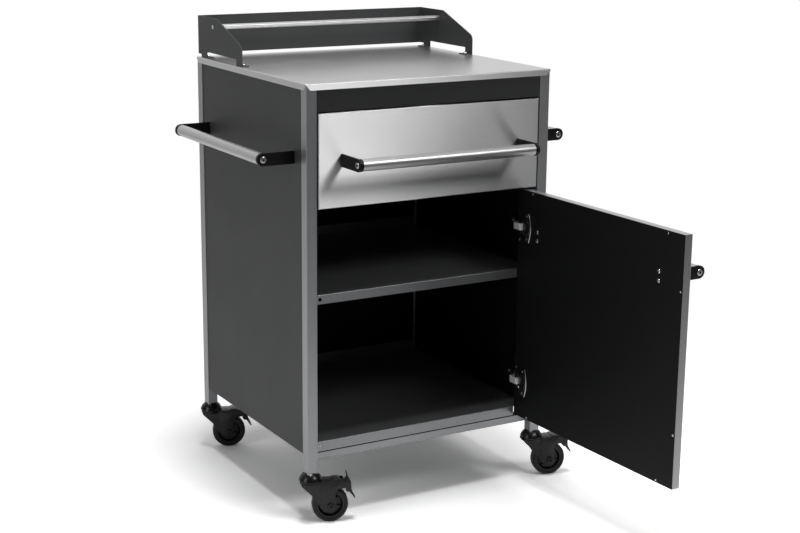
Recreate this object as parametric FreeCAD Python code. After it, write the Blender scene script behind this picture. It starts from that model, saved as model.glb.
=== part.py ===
import FreeCAD, Part
import os
from math import cos, radians, sin, sqrt, tan

Vector = FreeCAD.Vector
X_AXIS = Vector(1, 0, 0)
Y_AXIS = Vector(0, 1, 0)
Z_AXIS = Vector(0, 0, 1)

# A wheeled serving cart: four square posts, a folded worktop, one drawer, one
# cupboard with a hinged door, four bar handles and four braked casters.
# The origin is the middle of the worktop's upper face, the front faces -Y.

# Overall sizes
CART_WIDTH = 610.0
CART_DEPTH = 567.0
WORKTOP_HEIGHT = 966.0

# Clearances
FIT = 0.3
DOOR_GAP = 3.0
SHAFT_FIT = 0.1

# Posts
POST_SIZE = 25.0
POST_WALL = 1.5
POST_CORNER = 2.0
POST_END_HEIGHT = 104.0

# Folded sheet
SHEET = 1.0
THICK_SHEET = 1.2
BEND = 2.0

# Worktop
WORKTOP_FLANGE = 14.0
WORKTOP_BEND = 2.6
CORNER_RELIEF = 10.0
CORNER_RELIEF_TOP = 1.0
CORNER_LAND = 3.5
WORK_AREA_GAP = 2.0

# Side and rear panels
PANEL_INSET = 2.0
PANEL_DEPTH = 18.0
PANEL_BOTTOM_DROP = 813.0

# Fascia above the drawer
FASCIA_INSET = 1.0
FASCIA_DEPTH = 18.0
FASCIA_BOTTOM_DROP = 60.4

# Shelves and bottom rails
SHELF_SETBACK = 22.0
MIDDLE_SHELF_DROP = 457.6
MIDDLE_SHELF_EDGE = 20.4
BOTTOM_SHELF_DROP = 789.8
BOTTOM_SHELF_EDGE = 22.6
SHELF_REAR_LIP = 22.0
SHELF_HOLE = 8.5
SHELF_HOLE_INSET = 17.2
SHELF_TO_RAIL = 0.9
RAIL_WIDTH = 20.0
RAIL_HEIGHT = 18.5
RAIL_WALL = 1.5
RAIL_CORNER = 2.0
BRACKET_LEG = 20.0
BRACKET_LENGTH = 40.0
BRACKET_SHEET = 2.0
BRACKET_INSET = 103.5

# Drawer
DRAWER_HEIGHT = 202.1
DRAWER_FRONT_DEPTH = 19.0
DRAWER_BOX_HEIGHT = 155.0
DRAWER_BOX_LIFT = 15.0
DRAWER_BOX_LENGTH = 480.0
RUNNER_LENGTH = 470.0
RUNNER_HEIGHT = 45.0
RUNNER_THICKNESS = 12.7
RUNNER_SHEET = 1.2
RUNNER_SIDE_PLAY = 0.5
RUNNER_PAD = 34.0
RUNNER_PAD_INSET = 40.0

# Door, drawn closed and then turned to its open rest angle
DOOR_THICKNESS = 21.0
DOOR_TOP_GAP = 4.7
DOOR_BOTTOM_GAP = 4.1
DOOR_RETURN = 15.0
DOOR_OPEN_ANGLE = 92.0
DOOR_SCREW_INSET = 5.0
DOOR_SCREW_CORNER = 50.0
DOOR_SCREW_SPACING = 304.0
DOOR_BOLT_INSET = 18.0
DOOR_BOLT_RISE = 20.0
DOOR_BACKING_WIDTH = 34.0
DOOR_BACKING_HEIGHT = 40.0

# Concealed hinges
HINGE_INSET = 86.0
PIVOT_FROM_POST = 18.5
PIVOT_FROM_FACE = 6.3
PIVOT_PIN = 4.0
KNUCKLE_RADIUS = 3.2
CUP_RADIUS = 17.5
CUP_WALL = 1.0
CUP_DEPTH = 19.6
CUP_CENTRE = 26.0
CUP_FLANGE = 1.5
CUP_FLANGE_HEIGHT = 66.0
CUP_FLANGE_REACH = 48.0
CUP_FLANGE_MARGIN = 0.5
CUP_FLANGE_SHOULDER = 6.5
CUP_FLANGE_NECK = 12.0
CUP_SCREW_SPACING = 52.0
CUP_SCREW_OFFSET = 5.5
ARM_WIDTH = 15.0
ARM_SHEET = 2.5
ARM_HOOK_REACH = 22.0
ARM_HOOK_DROP = 1.5
ARM_HOOK_RISE = 25.0
ARM_BODY_DEPTH = 9.0
ARM_BODY_LENGTH = 62.0
ARM_SCREW_INSET = 10.0
ARM_SCREW_SPACING = 24.0
PLATE_THICKNESS = 3.0
PLATE_HEIGHT = 66.0
PLATE_WIDTH = 50.0
PLATE_CORNER = 5.0
PLATE_SCREW_SPACING = 52.0
DOOR_SWING_GAP = 1.0

# Bar handles
HANDLE_MARGIN = 81.0
HANDLE_STANDOFF = 72.5
HANDLE_TUBE = 26.0
HANDLE_TUBE_WALL = 1.5
HANDLE_ARM_HEIGHT = 27.6
HANDLE_ARM_THICKNESS = 4.5
HANDLE_COLLAR = 4.5
HANDLE_COLLAR_STEP = 1.0
HANDLE_SCREW_HEAD = 14.0
HANDLE_SCREW_HEAD_HEIGHT = 2.0
HANDLE_SCREW_SHANK = 6.0
HANDLE_SCREW_LENGTH = 24.0
HANDLE_PLUG_LENGTH = 12.0
SIDE_HANDLE_DROP = 161.0
DOOR_HANDLE_FROM_TOP = 99.0

# Screws
SMALL_HEAD = 5.0
SMALL_HEAD_HEIGHT = 0.7
SMALL_SHANK = 2.6
SMALL_LENGTH = 6.0
MEDIUM_HEAD = 9.0
MEDIUM_HEAD_HEIGHT = 2.4
MEDIUM_SHANK = 4.0
MEDIUM_LENGTH = 8.0

# Upstand on the worktop
UPSTAND_SHEET = 2.0
UPSTAND_INSET = 2.0
UPSTAND_HEIGHT = 95.5
UPSTAND_REACH = 245.0
UPSTAND_BEND_AT = 110.0
UPSTAND_NOSE_HEIGHT = 45.0
UPSTAND_NOSE_RADIUS = 16.0
UPSTAND_LIFT = 7.5
UPSTAND_ARCH = 15.0
UPSTAND_BEND = 3.0
REAR_LEG_START = 20.0
LEG_WIDTH = 30.0
FOOT_LENGTH = 17.0
FOOT_BOLT_HEAD = 10.0
FOOT_BOLT_HEAD_HEIGHT = 4.0
FOOT_BOLT_SHANK = 5.0
FOOT_BOLT_LENGTH = 10.0
ROD_DIAMETER = 12.0
ROD_FROM_BACK = 90.0
ROD_HEIGHT = 75.5
ROD_SCREW_HEAD = 9.0
ROD_SCREW_HEAD_HEIGHT = 2.2
ROD_SCREW_SHANK = 4.0
ROD_SCREW_LENGTH = 16.0

# Casters
WHEEL_RADIUS = 40.0
WHEEL_WIDTH = 26.0
TYRE_DEPTH = 8.0
TYRE_CROWN = 5.0
HUB_RADIUS = 11.0
RIM_WEB = 8.0
RIM_LIP = 4.0
RIM_LIP_INSET = 1.5
RIM_SLOPE = 2.0
AXLE_RADIUS = 4.0
AXLE_HEAD_RADIUS = 7.5
AXLE_HEAD = 5.0
CASTER_TRAIL = 42.5
SOCKET_RADIUS = 27.0
SOCKET_CENTRE_HEIGHT = 91.5
SOCKET_BASE_HEIGHT = 98.0
SOCKET_PLUG_LENGTH = 36.0
STEM_RADIUS = 6.0
STEM_HEAD_RADIUS = 9.0
STEM_HEAD = 4.0
FORK_RING_RADIUS = 24.0
FORK_RING_BASE = 89.0
FORK_GROOVE_RISE = 4.0
FORK_GROOVE_WIDTH = 1.0
FORK_GROOVE_DEPTH = 1.5
FORK_PLATE_TOP = 96.0
FORK_PLATE_NOSE = 17.0
FORK_PLATE_TAIL = 65.0
FORK_SHEET = 3.0
FORK_SIDE_GAP = 1.5
FORK_NOSE = 22.0
FORK_NOSE_DEPTH = 8.0
FORK_TAIL = 75.0
FORK_TAIL_DEPTH = 17.0
FORK_CHAMFER = 4.0
FORK_WEB_INSET = 0.5
FORK_WEB_SHEET = 1.7
CHEEK_CORNER = 6.0
BRAKE_REACH = 68.0
BRAKE_PIVOT_HEIGHT = 86.0
BRAKE_HUB_RADIUS = 6.0
BRAKE_PIN_RADIUS = 2.5
BRAKE_SIDE_INSET = 2.0

# One cheek's edge around the axle, as (forward, up) from the axle's centre
CHEEK_EDGE = [(-41.5, 25.0), (-29.5, 7.0), (-12.5, -12.0), (0.0, -15.5), (13.5, -10.0),
              (11.5, 12.0), (10.5, 30.0), (17.5, 37.0)]

# The foot lever in side view, as (forward, up) from its pivot
LEVER_EDGE = [(2.0, -5.0), (6.0, -6.0), (10.6, -18.4), (16.0, -19.0), (18.5, -22.0),
              (28.5, -35.0), (30.8, -33.4), (22.0, -20.0), (21.0, -12.0), (19.5, 2.0),
              (16.5, 12.0), (11.6, 26.6), (9.4, 26.0), (12.5, 12.0), (8.0, 6.4), (2.0, 6.4)]

HEADINGS = {
    "front_left": -19.8,
    "front_right": -14.7,
    "rear_left": -20.9,
    "rear_right": -18.0,
}

# Places that follow from the sizes above
FRONT = -CART_DEPTH / 2
BACK = CART_DEPTH / 2
SIDE = CART_WIDTH / 2
FLOOR = -WORKTOP_HEIGHT
POST_X = SIDE - POST_SIZE / 2
POST_Y = BACK - POST_SIZE / 2
OPENING = SIDE - POST_SIZE
HANDLE_LENGTH = CART_WIDTH - 2 * HANDLE_MARGIN
WORKTOP_UNDER = -THICK_SHEET
PANEL_TOP = WORKTOP_UNDER - FIT
PANEL_BOTTOM = -PANEL_BOTTOM_DROP
PANEL_OUTER_X = SIDE - PANEL_INSET
LINER_X = PANEL_OUTER_X - PANEL_DEPTH - SHEET
PANEL_OUTER_Y = BACK - PANEL_INSET
LINER_Y = PANEL_OUTER_Y - PANEL_DEPTH - SHEET
SHELF_FRONT = FRONT + SHELF_SETBACK
RAIL_TOP = -BOTTOM_SHELF_DROP - BOTTOM_SHELF_EDGE - SHELF_TO_RAIL
BRACKET_Y = BACK - BRACKET_INSET
DRAWER_TOP = -FASCIA_BOTTOM_DROP - DOOR_GAP
DRAWER_BOTTOM = DRAWER_TOP - DRAWER_HEIGHT
DRAWER_BACK_FACE = FRONT + DRAWER_FRONT_DEPTH + SHEET
RUNNER_X = OPENING - RUNNER_SIDE_PLAY
DRAWER_BOX_X = RUNNER_X - RUNNER_THICKNESS
DRAWER_BOX_BOTTOM = DRAWER_BOTTOM + DRAWER_BOX_LIFT
DRAWER_BOX_TOP = DRAWER_BOX_BOTTOM + DRAWER_BOX_HEIGHT
RUNNER_Z = (DRAWER_BOX_BOTTOM + DRAWER_BOX_TOP) / 2
RUNNER_FRONT = DRAWER_BACK_FACE + FIT
DOOR_EDGE = OPENING - DOOR_GAP
DOOR_TOP = DRAWER_BOTTOM - DOOR_TOP_GAP
DOOR_BOTTOM = RAIL_TOP + DOOR_BOTTOM_GAP
DOOR_HANDLE_Z = DOOR_TOP - DOOR_HANDLE_FROM_TOP
DOOR_BOLT_X = HANDLE_LENGTH / 2 - DOOR_BOLT_INSET
DOOR_BACK_FACE = FRONT + DOOR_THICKNESS
PIVOT_X = OPENING - PIVOT_FROM_POST
PIVOT_Y = FRONT + PIVOT_FROM_FACE
PIVOT = Vector(PIVOT_X, PIVOT_Y, 0)
HINGE_HEIGHTS = (DOOR_TOP - HINGE_INSET, DOOR_BOTTOM + HINGE_INSET)
CUP_X = DOOR_EDGE - CUP_CENTRE
UPSTAND_X = SIDE - UPSTAND_INSET
UPSTAND_Y = BACK - UPSTAND_INSET
WORK_AREA_BACK = UPSTAND_Y - UPSTAND_REACH - WORK_AREA_GAP
WHEEL_HALF = WHEEL_WIDTH / 2
FORK_INNER = WHEEL_HALF + FORK_SIDE_GAP
FORK_OUTER = FORK_INNER + FORK_SHEET


def box(x0, x1, y0, y1, z0, z1):
    """A block between two opposite corners, given in any order."""
    low = Vector(min(x0, x1), min(y0, y1), min(z0, z1))
    return Part.makeBox(abs(x1 - x0), abs(y1 - y0), abs(z1 - z0), low)


def edges_along(shape, axis, keep=None):
    """The straight edges parallel to an axis, filtered by their middle point."""
    found = []
    for edge in shape.Edges:
        if edge.Curve.TypeId != "Part::GeomLine":
            continue
        if edge.Curve.Direction.cross(axis).Length > 1e-6:
            continue
        middle = edge.CenterOfMass
        if keep is None or keep(middle):
            found.append(edge)
    return found


def rounded(shape, radius, axis, keep=None):
    """The shape with its edges along one axis rounded."""
    return shape.makeFillet(radius, edges_along(shape, axis, keep))


def cylinder(start, axis, radius, length):
    return Part.makeCylinder(radius, length, start, axis)


def prism(points, axis_vector):
    """A solid swept from a closed outline along a vector."""
    wire = Part.makePolygon(points + [points[0]])
    return Part.Face(wire).extrude(axis_vector)


def mirrored(shape):
    """The same shape on the other side of the cart's middle."""
    return shape.mirror(Vector(0, 0, 0), X_AXIS)


def turned(shape, base, axis, angle):
    copy = shape.copy()
    copy.rotate(base, axis, angle)
    return copy


def moved(shape, vector):
    copy = shape.copy()
    copy.translate(vector)
    return copy


def square_tube(cx, cy, size_x, size_y, wall, corner, z0, z1):
    """An upright rectangular tube with rounded corners."""
    outer = box(cx - size_x / 2, cx + size_x / 2, cy - size_y / 2, cy + size_y / 2, z0, z1)
    inner = box(cx - size_x / 2 + wall, cx + size_x / 2 - wall,
                cy - size_y / 2 + wall, cy + size_y / 2 - wall, z0, z1)
    outer = rounded(outer, corner, Z_AXIS)
    inner = rounded(inner, corner - wall / 2, Z_AXIS)
    return outer.cut(inner)


def screw(seat, axis, head, head_height, shank, length):
    """A pan-head screw: seat is under the head, axis points into the work."""
    body = cylinder(seat, axis, shank / 2, length)
    top = cylinder(seat, axis * -1, head / 2, head_height)
    rim = [e for e in top.Edges if e.Curve.TypeId == "Part::GeomCircle"
           and (e.CenterOfMass - seat).Length > head_height / 2]
    top = top.makeFillet(head_height * 0.6, rim)
    recess = cylinder(seat + axis * -head_height, axis, head * 0.2, head_height * 0.5)
    return body.fuse(top).cut(recess)


def small_screw(seat, axis):
    return screw(seat, axis, SMALL_HEAD, SMALL_HEAD_HEIGHT, SMALL_SHANK, SMALL_LENGTH)


def medium_screw(seat, axis):
    return screw(seat, axis, MEDIUM_HEAD, MEDIUM_HEAD_HEIGHT, MEDIUM_SHANK, MEDIUM_LENGTH)


def export(name, *shapes):
    solids = []
    for shape in shapes:
        solids.extend(shape.Solids)
    whole = solids[0] if len(solids) == 1 else Part.makeCompound(solids)
    whole.exportStep("parts/" + name + ".step")


# Frame

def make_post(side_x, side_y):
    return square_tube(side_x * POST_X, side_y * POST_Y, POST_SIZE, POST_SIZE, POST_WALL,
                       POST_CORNER, FLOOR + POST_END_HEIGHT, WORKTOP_UNDER)


def foot_places():
    """Middle of each upstand foot, as (side, y)."""
    rear = UPSTAND_Y - REAR_LEG_START - LEG_WIDTH / 2
    front = UPSTAND_Y - UPSTAND_REACH + LEG_WIDTH / 2
    return [(side, y) for side in (-1, 1) for y in (rear, front)]


def foot_bolt_seat(side, y):
    return Vector(side * (UPSTAND_X - UPSTAND_SHEET - FOOT_LENGTH / 2), y, UPSTAND_SHEET)


def make_worktop():
    """A folded pan: a flat top, four short flanges, corners cut back to a point."""
    overhang = THICK_SHEET + FIT
    x1 = SIDE + overhang
    y1 = BACK + overhang
    outer = box(-x1, x1, -y1, y1, -WORKTOP_FLANGE, 0)
    outer = rounded(outer, WORKTOP_BEND, Z_AXIS)
    rim = [e for e in outer.Edges if abs(e.CenterOfMass.z) < 1e-6]
    outer = outer.makeFillet(WORKTOP_BEND * 0.9, rim)
    inner = box(-x1 + THICK_SHEET, x1 - THICK_SHEET, -y1 + THICK_SHEET, y1 - THICK_SHEET,
                -WORKTOP_FLANGE, WORKTOP_UNDER)
    pan = outer.cut(inner)
    for sx in (-1, 1):
        for sy in (-1, 1):
            corner = Vector(sx * (x1 - 1), sy * (y1 - 1), -WORKTOP_FLANGE)
            pan = pan.cut(Part.makeCone(CORNER_RELIEF, CORNER_RELIEF_TOP,
                                        WORKTOP_FLANGE - CORNER_LAND, corner, Z_AXIS))
    for side, y in foot_places():
        seat = foot_bolt_seat(side, y)
        pan = pan.cut(cylinder(Vector(seat.x, seat.y, -WORKTOP_FLANGE), Z_AXIS,
                               FOOT_BOLT_SHANK / 2 + SHAFT_FIT, WORKTOP_FLANGE * 2))
    # The free area in front of the upstand stays a face of its own.
    ahead = box(-x1, x1, -y1, WORK_AREA_BACK, -WORKTOP_FLANGE, 0)
    return pan.common(ahead).fuse(pan.cut(ahead))


def folded_tray(x0, x1, y0, y1, z0, z1, face_axis, face_sign, sheet):
    """A folded panel: one closed face and four edges, open at its back."""
    outer = box(x0, x1, y0, y1, z0, z1)
    lows = [x0 + sheet, y0 + sheet, z0 + sheet]
    highs = [x1 - sheet, y1 - sheet, z1 - sheet]
    if face_sign > 0:
        lows[face_axis] -= 2 * sheet
    else:
        highs[face_axis] += 2 * sheet
    hollow = box(lows[0], highs[0], lows[1], highs[1], lows[2], highs[2])
    limits = ((x0, x1), (y0, y1), (z0, z1))[face_axis]
    level = limits[1] if face_sign > 0 else limits[0]
    bends = [e for e in outer.Edges if abs(tuple(e.CenterOfMass)[face_axis] - level) < 1e-6]
    return outer.makeFillet(BEND, bends).cut(hollow)


def make_side_panel():
    """The right-hand outer panel between two posts."""
    inner_y = POST_Y - POST_SIZE / 2 - FIT
    panel = folded_tray(PANEL_OUTER_X - PANEL_DEPTH, PANEL_OUTER_X, -inner_y, inner_y,
                        PANEL_BOTTOM, PANEL_TOP, 0, 1, SHEET)
    for side, y in foot_places():
        seat = foot_bolt_seat(1, y)
        panel = panel.cut(cylinder(Vector(seat.x, seat.y, PANEL_TOP - 2 * SHEET), Z_AXIS,
                                   FOOT_BOLT_SHANK / 2 + SHAFT_FIT, 4 * SHEET))
    return panel


def make_side_liner():
    inner_y = POST_Y - POST_SIZE / 2 - FIT
    return box(LINER_X, LINER_X + SHEET, -inner_y, inner_y, PANEL_BOTTOM, PANEL_TOP)


def make_rear_panel():
    inner_x = OPENING - FIT
    return folded_tray(-inner_x, inner_x, PANEL_OUTER_Y - PANEL_DEPTH, PANEL_OUTER_Y,
                       PANEL_BOTTOM, PANEL_TOP, 1, 1, SHEET)


def make_rear_liner():
    inner_x = OPENING - FIT
    return box(-inner_x, inner_x, LINER_Y, LINER_Y + SHEET, PANEL_BOTTOM, PANEL_TOP)


def make_fascia():
    inner_x = OPENING - FIT
    front = FRONT + FASCIA_INSET
    return folded_tray(-inner_x, inner_x, front, front + FASCIA_DEPTH,
                       -FASCIA_BOTTOM_DROP, PANEL_TOP, 1, -1, SHEET)


def door_swing_notch(z0, z1):
    """The corner of a shelf that the door's hinge edge swings through."""
    reach_x = DOOR_EDGE - PIVOT_X
    reach_y = DOOR_BACK_FACE - PIVOT_Y
    swing = sqrt(reach_x ** 2 + reach_y ** 2) + DOOR_SWING_GAP
    half = sqrt(swing ** 2 - (SHELF_FRONT - PIVOT_Y) ** 2)
    return box(PIVOT_X - half, OPENING, SHELF_FRONT - 1, PIVOT_Y + swing, z0, z1)


def make_shelf(top, edge_height, rear_drop):
    """A shelf plate with a folded front edge and a raised rear lip."""
    inner_x = OPENING - FIT
    wide_x = LINER_X - FIT
    post_back = FRONT + POST_SIZE + FIT
    rear = LINER_Y - FIT
    under = top - THICK_SHEET
    plate = box(-inner_x, inner_x, SHELF_FRONT, rear, under, top)
    wings = box(-wide_x, wide_x, post_back, POST_Y - POST_SIZE / 2 - FIT, under, top)
    edge = box(-inner_x, inner_x, SHELF_FRONT, SHELF_FRONT + THICK_SHEET,
               top - edge_height, top)
    lip = box(-inner_x, inner_x, rear - THICK_SHEET, rear, under, top + SHELF_REAR_LIP)
    tail = box(-inner_x, inner_x, rear - THICK_SHEET, rear, top - rear_drop, top)
    shelf = plate.fuse([wings, edge, lip, tail]).removeSplitter()
    shelf = rounded(shelf, THICK_SHEET * 0.9, X_AXIS,
                    lambda m: abs(m.y - SHELF_FRONT) < 1e-6 and abs(m.z - top) < 1e-6)
    hole = cylinder(Vector(SHELF_HOLE_INSET - OPENING, SHELF_FRONT - 1, top - edge_height / 2),
                    Y_AXIS, SHELF_HOLE / 2, THICK_SHEET + 2)
    return shelf.cut(hole).cut(door_swing_notch(top - edge_height - 1, top + 1))


def make_rail(y0):
    """A bottom rail between two posts, lying along X."""
    inner_x = OPENING - FIT / 2
    outer = box(-inner_x, inner_x, y0, y0 + RAIL_WIDTH, RAIL_TOP - RAIL_HEIGHT, RAIL_TOP)
    inner = box(-inner_x, inner_x, y0 + RAIL_WALL, y0 + RAIL_WIDTH - RAIL_WALL,
                RAIL_TOP - RAIL_HEIGHT + RAIL_WALL, RAIL_TOP - RAIL_WALL)
    return rounded(outer, RAIL_CORNER, X_AXIS).cut(inner)


def bracket_places():
    return [(side, y) for side in (-1, 1) for y in (-BRACKET_Y, BRACKET_Y)]


def make_shelf_bracket(side, y):
    """An angle that carries the middle shelf from the side liner."""
    top = -MIDDLE_SHELF_DROP - THICK_SHEET
    wall = LINER_X
    upright = box(wall - BRACKET_SHEET, wall, y - BRACKET_LENGTH / 2, y + BRACKET_LENGTH / 2,
                  top - BRACKET_LEG, top)
    ledge = box(wall - BRACKET_LEG, wall, y - BRACKET_LENGTH / 2, y + BRACKET_LENGTH / 2,
                top - BRACKET_SHEET, top)
    hole = cylinder(Vector(wall - BRACKET_LEG, y, top - BRACKET_LEG / 2), X_AXIS,
                    MEDIUM_SHANK / 2 + SHAFT_FIT, BRACKET_LEG * 2)
    bracket = upright.fuse(ledge).cut(hole).removeSplitter()
    return bracket if side > 0 else mirrored(bracket)


# Drawer runners, drawn for the right side with nested C sections

def c_section(web_x, flange_x, half_height, y0, y1):
    """A channel: its web at web_x, its flanges reaching towards flange_x."""
    sign = 1 if flange_x > web_x else -1
    web = box(web_x, web_x + sign * RUNNER_SHEET, y0, y1,
              RUNNER_Z - half_height, RUNNER_Z + half_height)
    upper = box(web_x, flange_x, y0, y1,
                RUNNER_Z + half_height - RUNNER_SHEET, RUNNER_Z + half_height)
    lower = box(web_x, flange_x, y0, y1,
                RUNNER_Z - half_height, RUNNER_Z - half_height + RUNNER_SHEET)
    return web.fuse([upper, lower]).removeSplitter()


def runner_pad_places():
    near = RUNNER_FRONT + RUNNER_PAD_INSET
    far = RUNNER_FRONT + RUNNER_LENGTH - RUNNER_PAD_INSET
    return (near, far)


def make_runner_channel():
    """The cabinet member with the two pads that stand it off the liner."""
    half = RUNNER_HEIGHT / 2
    rear = RUNNER_FRONT + RUNNER_LENGTH
    channel = c_section(RUNNER_X, DRAWER_BOX_X + SHEET, half, RUNNER_FRONT, rear)
    for y in runner_pad_places():
        pad = box(RUNNER_X, LINER_X, y - RUNNER_PAD / 2, y + RUNNER_PAD / 2,
                  RUNNER_Z - half * 0.7, RUNNER_Z + half * 0.7)
        channel = channel.fuse(pad)
    return channel.removeSplitter()


def make_runner_middle():
    half = RUNNER_HEIGHT / 2 - RUNNER_SHEET - FIT
    return c_section(RUNNER_X - RUNNER_SHEET - FIT, DRAWER_BOX_X + SHEET, half,
                     RUNNER_FRONT, RUNNER_FRONT + RUNNER_LENGTH)


def make_runner_rail():
    half = RUNNER_HEIGHT / 2 - 2 * (RUNNER_SHEET + FIT)
    return c_section(DRAWER_BOX_X, RUNNER_X - 2 * (RUNNER_SHEET + FIT), half,
                     RUNNER_FRONT, RUNNER_FRONT + RUNNER_LENGTH)


# Drawer

def make_drawer_front():
    return folded_tray(-DOOR_EDGE, DOOR_EDGE, FRONT, FRONT + DRAWER_FRONT_DEPTH,
                       DRAWER_BOTTOM, DRAWER_TOP, 1, -1, SHEET)


def make_drawer_inner_front():
    return box(-DOOR_EDGE, DOOR_EDGE, FRONT + DRAWER_FRONT_DEPTH, DRAWER_BACK_FACE,
               DRAWER_BOTTOM, DRAWER_TOP)


def make_drawer_side():
    return box(DRAWER_BOX_X - THICK_SHEET, DRAWER_BOX_X, DRAWER_BACK_FACE,
               DRAWER_BACK_FACE + DRAWER_BOX_LENGTH, DRAWER_BOX_BOTTOM, DRAWER_BOX_TOP)


def make_drawer_bottom():
    inner_x = DRAWER_BOX_X - THICK_SHEET
    return box(-inner_x, inner_x, DRAWER_BACK_FACE, DRAWER_BACK_FACE + DRAWER_BOX_LENGTH,
               DRAWER_BOX_BOTTOM, DRAWER_BOX_BOTTOM + THICK_SHEET)


def make_drawer_back():
    inner_x = DRAWER_BOX_X - THICK_SHEET
    rear = DRAWER_BACK_FACE + DRAWER_BOX_LENGTH
    return box(-inner_x, inner_x, rear - THICK_SHEET, rear,
               DRAWER_BOX_BOTTOM + THICK_SHEET, DRAWER_BOX_TOP)


# Bar handle, drawn along X on a face at y = 0 that looks towards -Y

def make_handle_arm():
    """The right-hand arm: a flat bar with a round end, and a collar."""
    half = HANDLE_ARM_HEIGHT / 2
    outer = HANDLE_LENGTH / 2
    inner = outer - HANDLE_ARM_THICKNESS
    bar = box(inner, outer, -HANDLE_STANDOFF, 0, -half, half)
    end = cylinder(Vector(inner, -HANDLE_STANDOFF, 0), X_AXIS, half, HANDLE_ARM_THICKNESS)
    arm = bar.fuse(end).removeSplitter()
    collar = cylinder(Vector(inner - HANDLE_COLLAR, -HANDLE_STANDOFF, 0), X_AXIS,
                      half, HANDLE_COLLAR * 0.8)
    neck = cylinder(Vector(inner - HANDLE_COLLAR, -HANDLE_STANDOFF, 0), X_AXIS,
                    half - HANDLE_COLLAR_STEP, HANDLE_COLLAR)
    hole = cylinder(Vector(inner - HANDLE_COLLAR - 1, -HANDLE_STANDOFF, 0), X_AXIS,
                    HANDLE_SCREW_SHANK / 2 + SHAFT_FIT, HANDLE_COLLAR + HANDLE_ARM_THICKNESS + 2)
    return arm.fuse([collar, neck]).cut(hole)


def handle_tube_half():
    return HANDLE_LENGTH / 2 - HANDLE_ARM_THICKNESS - HANDLE_COLLAR


def make_handle_tube():
    """The grip: a round tube with a threaded plug in each end."""
    half = handle_tube_half()
    start = Vector(-half, -HANDLE_STANDOFF, 0)
    tube = cylinder(start, X_AXIS, HANDLE_TUBE / 2, 2 * half)
    bore = cylinder(start, X_AXIS, HANDLE_TUBE / 2 - HANDLE_TUBE_WALL, 2 * half)
    tube = tube.cut(bore)
    plug = cylinder(start, X_AXIS, HANDLE_TUBE / 2 - HANDLE_TUBE_WALL, HANDLE_PLUG_LENGTH)
    hole = cylinder(start, X_AXIS, HANDLE_SCREW_SHANK / 2 + SHAFT_FIT, 2 * half)
    return tube.fuse([plug, mirrored(plug)]).cut(hole)


def make_handle_screw():
    seat = Vector(HANDLE_LENGTH / 2, -HANDLE_STANDOFF, 0)
    return screw(seat, X_AXIS * -1, HANDLE_SCREW_HEAD, HANDLE_SCREW_HEAD_HEIGHT,
                 HANDLE_SCREW_SHANK, HANDLE_SCREW_LENGTH)


def place_handle(shape, where, angle):
    """Moves a handle piece to its face and turns it about Z."""
    return moved(turned(shape, Vector(0, 0, 0), Z_AXIS, angle), where)


def both_ends(shape):
    return [shape, mirrored(shape)]


# Door, drawn closed

def opened(shape):
    """Turns a door piece from closed to its open rest angle."""
    return turned(shape, PIVOT, Z_AXIS, DOOR_OPEN_ANGLE)


def cup_space(extra):
    """The round cavities for the two hinge cups."""
    cavities = []
    for z in HINGE_HEIGHTS:
        start = Vector(CUP_X, DOOR_BACK_FACE - CUP_DEPTH - extra, z)
        cavities.append(cylinder(start, Y_AXIS, CUP_RADIUS + extra, CUP_DEPTH + CUP_FLANGE + 1))
    return cavities


def door_screw_places():
    """Where the liner is screwed to the folded edges: (x, z)."""
    places = []
    top = DOOR_TOP - DOOR_SCREW_INSET
    bottom = DOOR_BOTTOM + DOOR_SCREW_INSET
    middle = (DOOR_TOP + DOOR_BOTTOM) / 2
    side = DOOR_EDGE - DOOR_SCREW_INSET
    for sign in (-1, 1):
        places.append((sign * (DOOR_EDGE - DOOR_SCREW_CORNER), top))
        places.append((sign * (DOOR_EDGE - DOOR_SCREW_CORNER), bottom))
        places.append((sign * side, middle + DOOR_SCREW_SPACING / 2))
        places.append((sign * side, middle - DOOR_SCREW_SPACING / 2))
    return places


def door_backing_places():
    """The two screws behind each end of the door handle: (x, z)."""
    heights = (DOOR_HANDLE_Z - DOOR_BOLT_RISE / 2, DOOR_HANDLE_Z + DOOR_BOLT_RISE / 2)
    return [(sign * DOOR_BOLT_X, z) for sign in (-1, 1) for z in heights]


def make_door_skin():
    """The folded outer skin with a narrow return along each edge."""
    back = DOOR_BACK_FACE - THICK_SHEET
    skin = folded_tray(-DOOR_EDGE, DOOR_EDGE, FRONT, back, DOOR_BOTTOM, DOOR_TOP, 1, -1, SHEET)
    frame = box(-DOOR_EDGE, DOOR_EDGE, back - SHEET, back, DOOR_BOTTOM, DOOR_TOP)
    window = box(-DOOR_EDGE + DOOR_RETURN, DOOR_EDGE - DOOR_RETURN, back - SHEET, back,
                 DOOR_BOTTOM + DOOR_RETURN, DOOR_TOP - DOOR_RETURN)
    skin = skin.fuse(frame.cut(window)).cut(cup_space(FIT))
    for x, z in door_screw_places():
        skin = skin.cut(cylinder(Vector(x, back - 2 * SHEET, z), Y_AXIS,
                                 SMALL_SHANK / 2 + SHAFT_FIT, 4 * SHEET))
    return skin.removeSplitter()


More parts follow.
